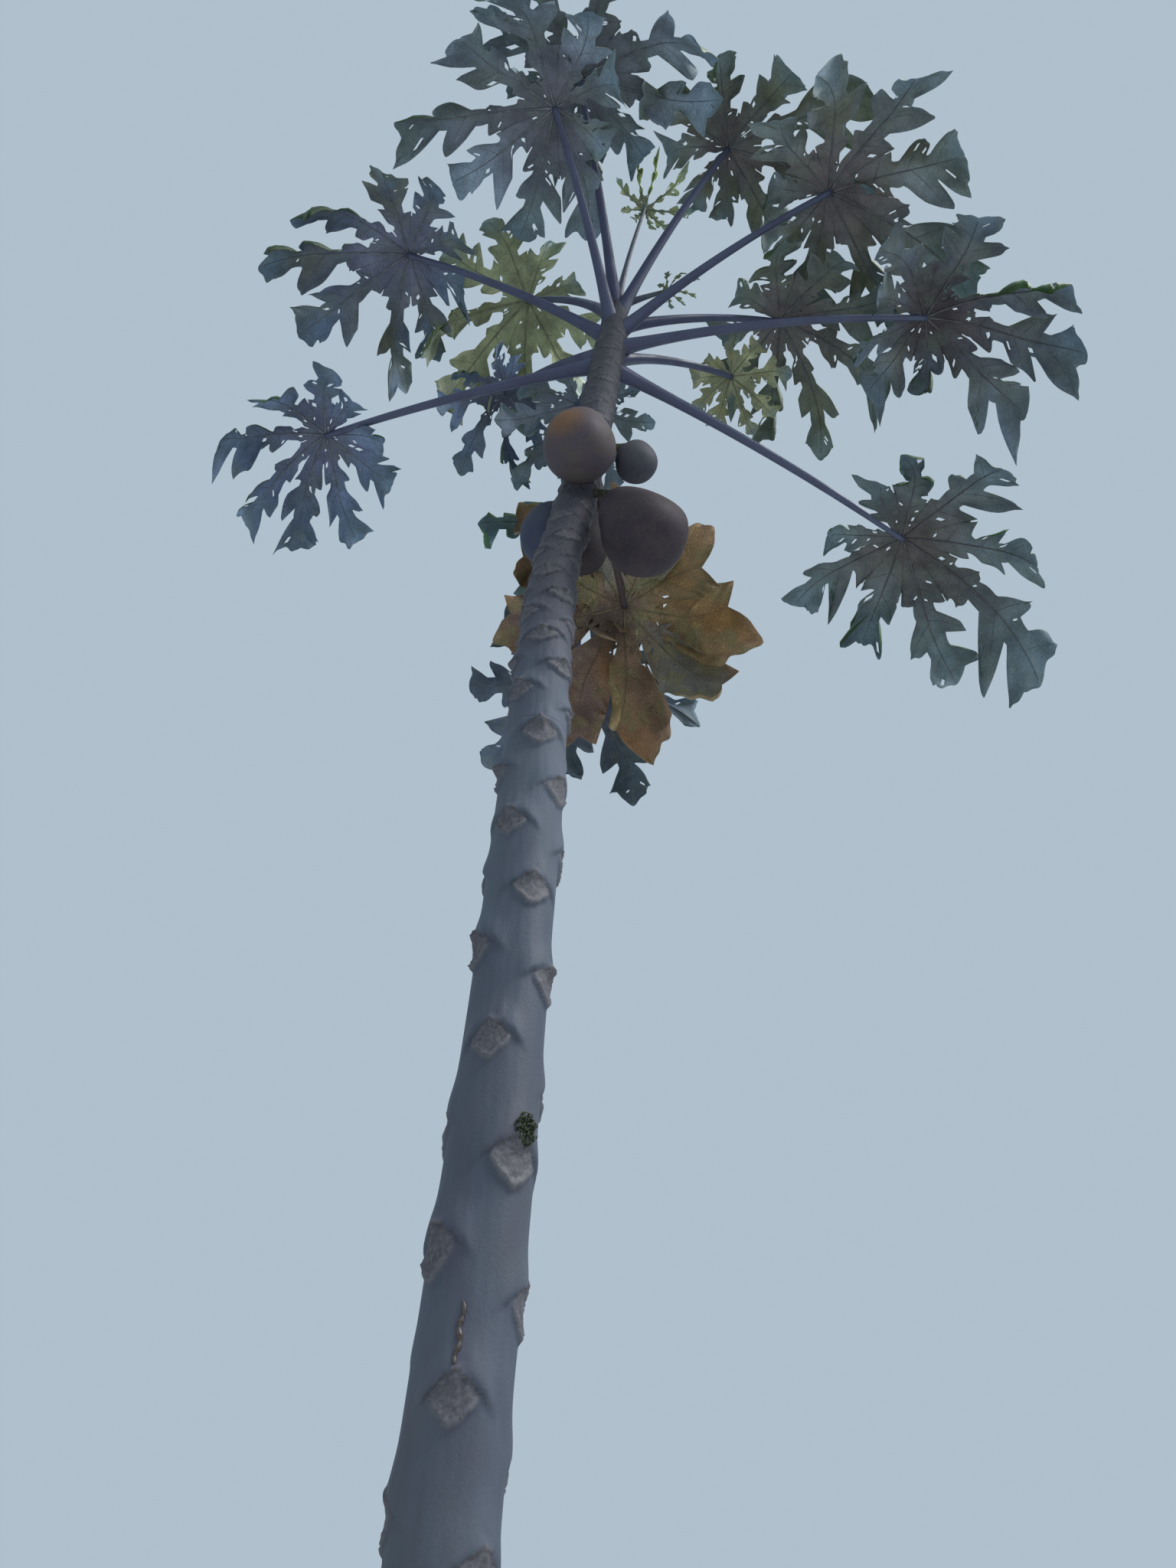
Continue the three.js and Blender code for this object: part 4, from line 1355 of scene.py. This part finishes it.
# Each leaf's lower tone, its upper tone and how patchy it is.
LEAF_COLOURS = {
    # Leaves 04 and 12 are pale yellow-green below, partly as painted light shining through them.
    "04": (np.array([0.500, 0.540, 0.330]), np.array([0.150, 0.230, 0.050]), 0.7),
    "12": (np.array([0.500, 0.520, 0.330]), np.array([0.250, 0.310, 0.100]), 0.5),
    "01": (np.array([0.420, 0.480, 0.260]), np.array([0.260, 0.340, 0.120]), 0.2),
    "02": (np.array([0.340, 0.400, 0.220]), np.array([0.220, 0.300, 0.110]), 0.2),
    "05": (np.array([0.250, 0.295, 0.305]), np.array([0.035, 0.080, 0.022]), 1.0),
    "08": (np.array([0.270, 0.325, 0.370]), np.array([0.035, 0.080, 0.022]), 0.9),
    "06": (np.array([0.210, 0.260, 0.240]), np.array([0.035, 0.080, 0.022]), 0.8),
    "11": (np.array([0.175, 0.215, 0.290]), np.array([0.030, 0.075, 0.022]), 0.5),
    "14": (np.array([0.140, 0.185, 0.210]), np.array([0.030, 0.075, 0.022]), 0.2),
    "16": (np.array([0.290, 0.430, 0.470]), np.array([0.050, 0.120, 0.050]), 0.1),
    "09": (BLUER, UPPER_GREEN, 0.9),
    "10": (BLUER, UPPER_GREEN, 0.2),
    "13": (BLUER, UPPER_GREEN, 0.2),
    # Leaf 19 lies inside the crown, so its darker lower tone is painted shade.
    "19": (np.array([0.090, 0.125, 0.190]), UPPER_GREEN, 0.2),
}
# Hub tones: partly each leaf's own colour near its stalk, partly painted shade.
HUB_MAUVE = np.array([0.145, 0.147, 0.184])
HUB_BROWN = np.array([0.112, 0.104, 0.102])
HUB_PALE = np.array([0.157, 0.137, 0.148])
HUB_DARK = np.array([0.078, 0.064, 0.074])
HUB_BLUE = np.array([0.124, 0.138, 0.220])
HUB_LIGHT_BLUE = np.array([0.190, 0.205, 0.300])
HUB_TONES_AND_SHADE = {
    "03": HUB_MAUVE,
    "05": HUB_PALE,
    "06": HUB_PALE,
    "07": HUB_MAUVE,
    "08": HUB_PALE,
    "09": HUB_LIGHT_BLUE,
    "10": HUB_BLUE,
    "11": HUB_DARK,
    "13": HUB_BLUE,
    "14": HUB_BROWN,
    "19": HUB_BLUE,
}
PATCH = {
    "05": OLIVE,
    "06": OLIVE,
    "08": OLIVE,
    "09": OLIVE,
    "11": OLIVE,
    "04": np.array([0.170, 0.210, 0.130]),
    "12": np.array([0.330, 0.300, 0.110]),
}
OLD_TONES = {
    "brown": np.array([0.185, 0.126, 0.112]),
    "olive": np.array([0.260, 0.245, 0.215]),
    "gold": np.array([0.270, 0.185, 0.095]),
    "amber": np.array([0.255, 0.175, 0.125]),
}
OLD_LOBES = {
    "17": ("olive", "olive", "gold", "amber", "olive", "brown", "amber", "olive", "olive"),
    "18": ("olive", "gold", "gold", "olive", "amber", "brown", "brown", "amber", "olive"),
}
# A brown hub tone, darkened as painted shade.
OLD_HUB_SHADE = np.array([0.170, 0.120, 0.098])
OLD_ORANGE = np.array([0.400, 0.200, 0.055])
OLD_RIM = np.array([0.420, 0.260, 0.160])
OLD_UPPER = np.array([0.300, 0.220, 0.060])
PATCHY = 0.6
LOBE_VALUE = (0.72, 1.3)  # how dark or light one lobe may be beside the next
PATCH_SPREAD = (0.2, 1.5)
PATCH_MOST = 0.85
HUB_SHADE_SPAN = (0.1, 0.75)  # shares of a lobe's length between which the hub's tone and painted shade give way
SKYLIGHT_SPAN = (0.6, 1.0)  # and between which the painted light of the sky through the tip grows
SKYLIGHT_SPREAD = (0.2, 0.85)
SKYLIGHT_MARGIN = 0.4
ORANGE_SPREAD = (0.1, 0.6)
OLD_HUB_SHADE_SPAN = (0.05, 0.45)


def drift_over(share, part, key, along, across):
    """A slow change from 0 to 1 over a lobe's grid, different for each key."""
    return 0.5 + 0.5 * np.sin(share * along + key)[:, None] * np.cos(part * across + 2.1 * key)[None]


def old_colours(leaf, lobe, share, part):
    """Colours of a leaf that is dying off, by lobe, distance from the hub and nearness to the margin."""
    key = lobe["key"] * 1.3
    tone = OLD_TONES[OLD_LOBES[leaf["name"]][lobe["number"]]]
    warm = (drift_over(share, part, key, 8, 2.6) ** 2 * draw(key + 0.5, *ORANGE_SPREAD))[..., None]
    colour = blended(tone, OLD_ORANGE, warm)
    # Painted shade over a browner tone round the stalk's end.
    near = (1 - ramp(share, *OLD_HUB_SHADE_SPAN))[:, None, None]
    colour = blended(colour, OLD_HUB_SHADE, near)
    margin = ramp(share, 0.55, 0.95)[:, None] * ramp(np.abs(part), 0.4, 1.0)[None]
    colour = blended(colour, OLD_RIM, (margin * draw(key + 0.7, 0.2, 1))[..., None])
    return colour, blended(colour, OLD_UPPER, 0.5)


def leaf_colours(leaf, lobe, share, part):
    """Colours of the lower and the upper face, over rows and columns."""
    if leaf["kind"] == "yellow":
        return old_colours(leaf, lobe, share, part)
    under, upper, patchy = LEAF_COLOURS.get(leaf["name"], (UNDER_GREEN, UPPER_GREEN, PATCHY))
    patch = PATCH.get(leaf["name"], MOSSY)
    # Painted shade: without a listed tone, the hub is the lower tone made darker.
    hub = HUB_TONES_AND_SHADE.get(leaf["name"], under * 0.7)
    key = lobe["key"] * 1.3
    value = draw(key, *LOBE_VALUE)
    mixture = patchy * drift_over(share, part, key, 9, 2.2) * draw(key + 0.5, *PATCH_SPREAD)
    mixture = np.clip(mixture, 0, PATCH_MOST)[..., None]
    low = blended(under * value, patch, mixture)
    # The hub's tone and painted shade take over near the stalk's end.
    near = (1 - ramp(share, *HUB_SHADE_SPAN))[:, None, None]
    low = blended(low, hub, near)
    # Painted light: the sky shining through the tips and margins makes them lighter and bluer.
    margin = SKYLIGHT_MARGIN * ramp(share, 0.3, 0.6)[:, None] * ramp(np.abs(part), 0.6, 1.0)[None]
    sky_through = np.maximum(ramp(share, *SKYLIGHT_SPAN)[:, None], margin)
    sky_through = (sky_through * draw(key + 0.9, *SKYLIGHT_SPREAD))[..., None]
    low = blended(low, PAINTED_SKYLIGHT_BLUE * min(1.0, under.mean() / UNDER_GREEN.mean()), sky_through)
    return low, blended(upper * value, patch, 0.5 * mixture)


def sheet_normals(sheet, up):
    """The direction out of the upper face at each point of a grid, or straight up where rows shrink."""
    along = np.gradient(sheet, axis=0)
    across = np.gradient(sheet, axis=1)
    normal = np.cross(along, across)
    size = np.linalg.norm(normal, axis=2, keepdims=True)
    return np.where(size > 1e-9, normal / np.maximum(size, 1e-9), up)


def make_blade(leaf, material):
    lobes = lobes_of(leaf)
    middle = KINDS[leaf["kind"]]["middle"]
    up = direction(leaf["heading"], 90 - leaf["dip"])
    steps = np.array([*(-part for part in reversed(LINE_STEPS)), 0.0, *LINE_STEPS])
    thick = HALF_THICK * (1 - MARGIN_THINNING * np.abs(steps))[None, :, None]
    parts = []
    for lobe in lobes:
        share, flat, lift = lobe_sheet(leaf, lobe)
        sheet = bent(leaf, lobes, flat, middle + lift)
        outward = sheet_normals(sheet, up) * thick
        keep = bitten(leaf, lobe, len(share) - 1, len(steps) - 1)
        points, faces = shell(sheet + outward, sheet - outward, keep)
        under, upper = leaf_colours(leaf, lobe, share, steps)
        colours = np.concatenate([upper.reshape(-1, 3), under.reshape(-1, 3)])
        side = np.concatenate([np.ones(upper.size // 3), np.zeros(under.size // 3)])
        parts.append((points, faces, colours, side))
    points, faces, colours, side = joined(parts)
    piece = mesh_piece(f"blade_{leaf['name']}", points, faces, colours, {"upper": side})
    return clothe(piece, material, f"leaf_{leaf['kind']}", f"leaf_{leaf['name']}")


# %% [markdown]
# ## The leaf's skin
# The tint stored on the points gives the main colour. A soft drift of lighter and darker tone, blotches
# of green or, on old leaves, of olive gold, and a fine net of veins break it up. The upper face has a
# slight waxy gloss and the lower one is matt.

# %% Leaf material
GREEN_BLOTCH = (0.150, 0.190, 0.160, 1)
OLD_BLOTCH = (0.235, 0.215, 0.110, 1)
YOUNG_BLOTCH = (0.300, 0.380, 0.200, 1)
VEIN_LIGHT = (1.9, 1.9, 1.7, 1)
LEAF_SPOT = (0.070, 0.045, 0.018, 1)


def leaf_material(name, vein, gloss, blotch, most):
    """A veined skin over the leaf's own tint, with soft blotches of one more tone."""
    skin = new_material(name, 0.6, 0.3)
    place = skin.node_tree.nodes["place"]
    face = add(skin, "Attribute", {"attribute_name": "upper"})
    drift = noise(skin, 11, 4, 0.6)
    colour = drifting_tint(skin, drift, 0.35, 0.68, 0.72, 1.3)
    patches = noise(skin, 15, 5, 0.65)
    share = stepped(skin, (patches, "Fac"), 0.47, 0.62, 0.0, most)
    colour = mixed(skin, (share, "Result"), (colour, 2), blotch)
    cells = add(skin, "TexVoronoi", {"feature": "DISTANCE_TO_EDGE"}, Vector=(place, "Object"), Scale=130)
    net = stepped(skin, (cells, "Distance"), 0.10, 0.02, 0.0, vein)
    paler = mixed(skin, 1.0, (colour, 2), VEIN_LIGHT, "MULTIPLY")
    colour = mixed(skin, (net, "Result"), (colour, 2), (paler, 2))
    spots = noise(skin, 70, 3, 0.7)
    brown = stepped(skin, (spots, "Fac"), 0.70, 0.76, 0.0, 0.5)
    colour = mixed(skin, (brown, "Result"), (colour, 2), LEAF_SPOT)
    rough = stepped(skin, (face, "Fac"), 0.3, 0.7, 0.72, gloss)
    finish_material(
        skin,
        (colour, 2),
        (rough, "Result"),
        [((cells, "Distance"), 0.35), ((drift, "Fac"), 0.4)],
        0.002,
    )
    return skin


LEAF_SKINS = {
    "green": leaf_material("papaya_leaf_green", vein=0.3, gloss=0.58, blotch=GREEN_BLOTCH, most=0.35),
    "yellow": leaf_material("papaya_leaf_yellow", vein=0.5, gloss=0.5, blotch=OLD_BLOTCH, most=0.7),
    "young": leaf_material("papaya_leaf_young", vein=0.4, gloss=0.45, blotch=YOUNG_BLOTCH, most=0.3),
}
blades = [make_blade(leaf, LEAF_SKINS[leaf["kind"]]) for leaf in LEAVES]
print("blades:", len(blades), "faces:", sum(len(piece.data.polygons) for piece in blades))


# %% [markdown]
# ## Ribs
# Under each lobe runs a round rib that thins to the tip, and a side rib leaves it for every side lobe.
# They stand out below, so they are thin tubes laid against the lower face, one piece for each leaf.

# %% Rib meshes
RIB_ROOT = 0.0034
RIB_TIP = 0.0006
FULL_RIB_REACH = 0.4  # length of a lobe whose rib has that thickness
RIB_TAPER = 0.8
RIB_END = 0.97  # share of the lobe's rows that the rib runs along
RIB_RINGS = 18
RIB_SUNK = 0.4  # share of its radius by which its middle lies below the lower face
RIB_SIDES = 5
SIDE_RIB = 0.42  # its radius for that of the rib
SIDE_RIB_END = 0.88
SIDE_RIB_RINGS = 6
SIDE_RIB_TAPER = 0.8
SIDE_RIB_SUNK = 0.3
RIB_GREEN = np.array([0.190, 0.200, 0.225])
RIB_BROWN = np.array([0.126, 0.120, 0.128])
RIB_MAUVE = np.array([0.160, 0.156, 0.172])
RIB_COLOURS = {
    "04": np.array([0.230, 0.250, 0.160]),
    "05": RIB_MAUVE,
    "06": RIB_MAUVE,
    "08": RIB_MAUVE,
    "11": RIB_BROWN,
    "12": np.array([0.250, 0.255, 0.155]),
    "14": RIB_BROWN,
    "17": np.array([0.200, 0.170, 0.085]),
    "18": np.array([0.200, 0.165, 0.100]),
}


def side_rib(leaf, lobes, grid, row, side, radius):
    """The path and radii of one side rib, along the slanted line of one row."""
    flat, lift = grid
    columns = [len(LINE_STEPS) + side * k for k in range(len(LINE_STEPS) + 1)]
    steps = np.linspace(0, SIDE_RIB_END, SIDE_RIB_RINGS)
    knots = np.array([0, *LINE_STEPS])
    path = np.stack([np.interp(steps, knots, flat[row, columns, axis]) for axis in (0, 1)], -1)
    radii = SIDE_RIB * radius * (1 - SIDE_RIB_TAPER * steps)
    lower_face = KINDS[leaf["kind"]]["middle"] - HALF_THICK
    level = lower_face + np.interp(steps, knots, lift[row, columns])
    return bent(leaf, lobes, path, level - SIDE_RIB_SUNK * radii), radii


def rib_paths(leaf, lobes, lobe):
    """The paths and radii of a lobe's rib and side ribs, read from its own grid."""
    share, flat, lift = lobe_sheet(leaf, lobe)
    centre = len(LINE_STEPS)
    size = math.sqrt(lobe["reach"] / FULL_RIB_REACH)
    radii = size * (RIB_ROOT + (RIB_TIP - RIB_ROOT) * share**RIB_TAPER)
    take = np.unique(np.linspace(0, int(len(share) * RIB_END) - 1, RIB_RINGS).astype(int))
    lower_face = KINDS[leaf["kind"]]["middle"] - HALF_THICK
    level = lower_face + lift[take, centre] - RIB_SUNK * radii[take]
    yield bent(leaf, lobes, flat[take, centre], level), radii[take]
    for side in (-1, 1):
        for number in range(len(SIDE_LOBES)):
            at = side_lobe_place(side_key(lobe, side), number)
            row = int(round(at * (len(share) - 1)))
            yield side_rib(leaf, lobes, (flat, lift), row, side, radii[row])


def make_ribs(leaf, material):
    lobes = lobes_of(leaf)
    over = direction(leaf["heading"], 90 - leaf["dip"])
    parts = []
    for lobe in lobes:
        for path, radii in rib_paths(leaf, lobes, lobe):
            parts.append(tube(path, radii, over, RIB_SIDES))
    points, faces = joined(parts)
    colours = np.tile(RIB_COLOURS.get(leaf["name"], RIB_GREEN), (len(points), 1))
    piece = mesh_piece(f"ribs_{leaf['name']}", points, faces, colours)
    return clothe(piece, material, f"leaf_{leaf['kind']}")


def rib_material():
    skin = new_material("papaya_rib", 0.5, 0.3)
    blotch = noise(skin, 45, 3, 0.5)
    colour = drifting_tint(skin, blotch, 0.35, 0.65, 0.75, 1.25)
    fine = noise(skin, 500, 2, 0.5)
    rough = stepped(skin, (blotch, "Fac"), 0.3, 0.7, 0.42, 0.62)
    finish_material(skin, (colour, 2), (rough, "Result"), [((fine, "Fac"), 0.3)], 0.0006)
    return skin


RIB_SKIN = rib_material()
ribs = [make_ribs(leaf, RIB_SKIN) for leaf in LEAVES]
print("ribs:", len(ribs), "faces:", sum(len(piece.data.polygons) for piece in ribs))


# %% [markdown]
# ## Fruit
# A papaya hangs by a short thick stem. It is egg-shaped, fuller below, with five very low ridges and a
# small pit at its lower end where the flower was. It starts as a sphere that is drawn out and fluted
# point by point. The largest one is drawn in above like a pear and leans to the trunk. The stem is a
# bent tube from the trunk to the fruit's top.

# %% Fruit shapes
# Name, centre, half width, half length, the height at which its stem leaves the trunk, and its state.
FRUIT = [
    ("fruit_1", (0.065, -0.1, 3.537), 0.070, 0.081, 3.69, "ripe"),
    ("fruit_2", (0.178, -0.06, 3.546), 0.041, 0.046, 3.64, "green"),
    ("fruit_3", (0.197, -0.045, 3.356), 0.081, 0.096, 3.5, "green"),
    ("fruit_4", (0.019, 0.08, 3.482), 0.066, 0.074, 3.64, "green"),
    ("fruit_5", (0.079, 0.181, 3.595), 0.055, 0.093, 3.58, "green"),
]
FRUIT_NECK = {"fruit_3": 0.30, "fruit_1": 0.10}  # how far the upper end is drawn in
FRUIT_LEAN = {"fruit_3": 0.58}  # how far the upper end leans towards the trunk, per metre of height
NECK_CURVE = 1.4
FRUIT_BULGE = 0.12
FRUIT_FLUTE = 0.010
FRUIT_UNEVEN = 0.015
FLOWER_PIT = 0.03
FLOWER_PIT_WIDTH = 0.006
STEM_DENT = 0.05
STEM_DENT_WIDTH = 0.02
FRUIT_SEGMENTS = 80
FRUIT_RINGS = 56


def make_egg(name, centre, half_width, half_length, neck, lean, number):
    """One fruit's skin: a sphere that is drawn out, fluted, dented at both ends and leaned."""
    bpy.ops.object.select_all(action="DESELECT")
    bpy.ops.mesh.primitive_uv_sphere_add(segments=FRUIT_SEGMENTS, ring_count=FRUIT_RINGS, radius=1)
    egg = bpy.context.object
    egg.name = name
    mesh = egg.data
    points = np.zeros(len(mesh.vertices) * 3)
    mesh.vertices.foreach_get("co", points)
    points = points.reshape(-1, 3)
    down = -points[:, 2]
    turn = np.arctan2(points[:, 1], points[:, 0])
    belly = (1 + FRUIT_BULGE * down) * (1 - neck * np.maximum(-down, 0) ** NECK_CURVE)
    flute = 1 + FRUIT_FLUTE * np.cos(5 * turn + number) * np.sqrt(np.clip(1 - down**2, 0, 1))
    uneven = 1 + FRUIT_UNEVEN * np.sin(2 * turn + 3 * down + number)
    points[:, :2] *= (belly * flute * uneven)[:, None] * half_width
    pit = FLOWER_PIT * bell(down, 1, FLOWER_PIT_WIDTH)
    dent = STEM_DENT * bell(down, -1, STEM_DENT_WIDTH)
    points[:, 2] = -(down * (1 - pit) + dent) * half_length
    points[:, 0] -= lean * np.maximum(points[:, 2], 0)
    points += centre
    mesh.vertices.foreach_set("co", points.ravel())
    mesh.polygons.foreach_set("use_smooth", np.ones(len(mesh.polygons), bool))
    mesh.update()
    return egg


STEM_RADIUS = 0.008
STEM_SPREAD = 1.2  # how much thicker it is at the trunk
STEM_STEPS = 9
STEM_SIDES = 14
STEM_BOW = 0.012
STEM_SUNK = 0.96  # share of the fruit's half length at which the stem ends, in the dent
STEM_LUMPS = 0.06
COLLAR = 0.5
COLLAR_PLACE = 0.93
COLLAR_WIDTH = 0.07


def make_stem(name, centre, half_length, lean, stem_height, number):
    """A bent stalk from the trunk to the fruit, with a woody collar where it holds the fruit."""
    root = trunk_place(stem_height)
    top = np.array(centre) + [-lean * half_length, 0, half_length * STEM_SUNK]
    share = np.linspace(0, 1, STEM_STEPS + 1)
    path = blended(root, top, share[:, None])
    path[:, 2] += STEM_BOW * np.sin(np.pi * share)
    radii = STEM_RADIUS * (STEM_SPREAD + (1 - STEM_SPREAD) * share)
    radii *= 1 + COLLAR * bell(share, COLLAR_PLACE, COLLAR_WIDTH) + STEM_LUMPS * np.sin(share * 25 + number)
    points, faces = tube(path, radii, (0, 0, 1), STEM_SIDES)
    return mesh_piece(name, points, faces)


print("the longest fruit:", round(2 * max(row[3] for row in FRUIT), 3), "m")


# %% [markdown]
# ## Skin of the fruit
# Unripe fruit is a dull grey-blue to purple-brown, matt with a faint bloom. Each fruit has its own two
# tones. The front one is turning, with a soft round orange blush high on the side that faces the viewer.
# Small pale pores cover all of them, and latex has dried in dark runs below the stem.

# %% Fruit materials
BLUSH_OFFSET = (-0.033, -0.063, -0.010)  # from the fruit's centre to the middle of its blush
BLUSH_EDGE = (0.078, 0.040)  # distances from there between which the blush grows to full
BLUSH_RAGGED = 0.05
PORE_PALE = (0.20, 0.19, 0.14, 1)
LATEX_DARK = (0.045, 0.035, 0.025, 1)
STEM_DARK = (0.060, 0.058, 0.042, 1)
STEM_PALE = (0.120, 0.125, 0.080, 1)
# Each fruit's two tones, its blush, and how strong that is.
FRUIT_COLOURS = {
    "fruit_1": ((0.098, 0.078, 0.094, 1), (0.108, 0.090, 0.084, 1), (0.250, 0.130, 0.064, 1), 0.75),
    "fruit_2": ((0.076, 0.075, 0.096, 1), (0.098, 0.098, 0.112, 1), (0.140, 0.130, 0.090, 1), 0.4),
    "fruit_3": ((0.048, 0.036, 0.048, 1), (0.066, 0.052, 0.056, 1), (0.064, 0.052, 0.046, 1), 0.45),
    "fruit_4": ((0.054, 0.063, 0.108, 1), (0.068, 0.080, 0.124, 1), (0.070, 0.080, 0.080, 1), 0.3),
    "fruit_5": ((0.042, 0.032, 0.036, 1), (0.054, 0.042, 0.044, 1), (0.070, 0.050, 0.042, 1), 0.3),
}


def fruit_material(name, base, other, blush, blush_share, centre):
    """A blotched skin. The blush is a soft round patch about one point of the fruit."""
    skin = new_material(name, 0.65, 0.2)
    place = skin.node_tree.nodes["place"]
    clouds = noise(skin, 22, 5, 0.6)
    cover = stepped(skin, (clouds, "Fac"), 0.38, 0.64)
    colour = mixed(skin, (cover, "Result"), base, other)
    spot = [value + offset for value, offset in zip(centre, BLUSH_OFFSET)]
    away = add(skin, "VectorMath", {"operation": "DISTANCE"}, i0=(place, "Object"), i1=spot)
    far = (away, "Value")
    ragged = add(skin, "Math", {"operation": "MULTIPLY_ADD"}, i0=(clouds, "Fac"), i1=BLUSH_RAGGED, i2=far)
    warm = stepped(skin, (ragged, 0), *BLUSH_EDGE, 0.0, blush_share)
    colour = mixed(skin, (warm, "Result"), (colour, 2), blush)
    pores = add(skin, "TexVoronoi", Vector=(place, "Object"), Scale=240)
    dots = stepped(skin, (pores, "Distance"), 0.22, 0.10, 0.0, 0.45)
    colour = mixed(skin, (dots, "Result"), (colour, 2), PORE_PALE)
    runs = noise(skin, 60, 4, 0.7, (1, 1, 0.12))
    stain = stepped(skin, (runs, "Fac"), 0.62, 0.70, 0.0, 0.5)
    colour = mixed(skin, (stain, "Result"), (colour, 2), LATEX_DARK)
    rough = stepped(skin, (clouds, "Fac"), 0.3, 0.7, 0.55, 0.75)
    finish_material(
        skin,
        (colour, 2),
        (rough, "Result"),
        [((clouds, "Fac"), 0.35), ((dots, "Result"), 0.15), ((stain, "Result"), 0.2)],
        0.0015,
    )
    return skin


def stem_material():
    skin = new_material("fruit_stem", 0.65, 0.3)
    mottle = noise(skin, 90, 4, 0.6)
    share = stepped(skin, (mottle, "Fac"), 0.4, 0.62)
    colour = mixed(skin, (share, "Result"), STEM_DARK, STEM_PALE)
    finish_material(skin, (colour, 2), None, [((mottle, "Fac"), 0.6)], 0.0015)
    return skin


def make_fruit():
    stem_skin = stem_material()
    for number, (name, centre, half_width, half_length, stem_height, state) in enumerate(FRUIT):
        lean = FRUIT_LEAN.get(name, 0)
        neck = FRUIT_NECK.get(name, 0)
        egg = make_egg(f"{name}_skin", centre, half_width, half_length, neck, lean, number)
        skin = fruit_material(f"papaya_{name}", *FRUIT_COLOURS[name], centre)
        clothe(egg, skin, f"fruit_{state}", name)
        stem = make_stem(f"{name}_stem", centre, half_length, lean, stem_height, number)
        clothe(stem, stem_skin, f"fruit_{state}")


make_fruit()
print("fruit:", len(FRUIT))
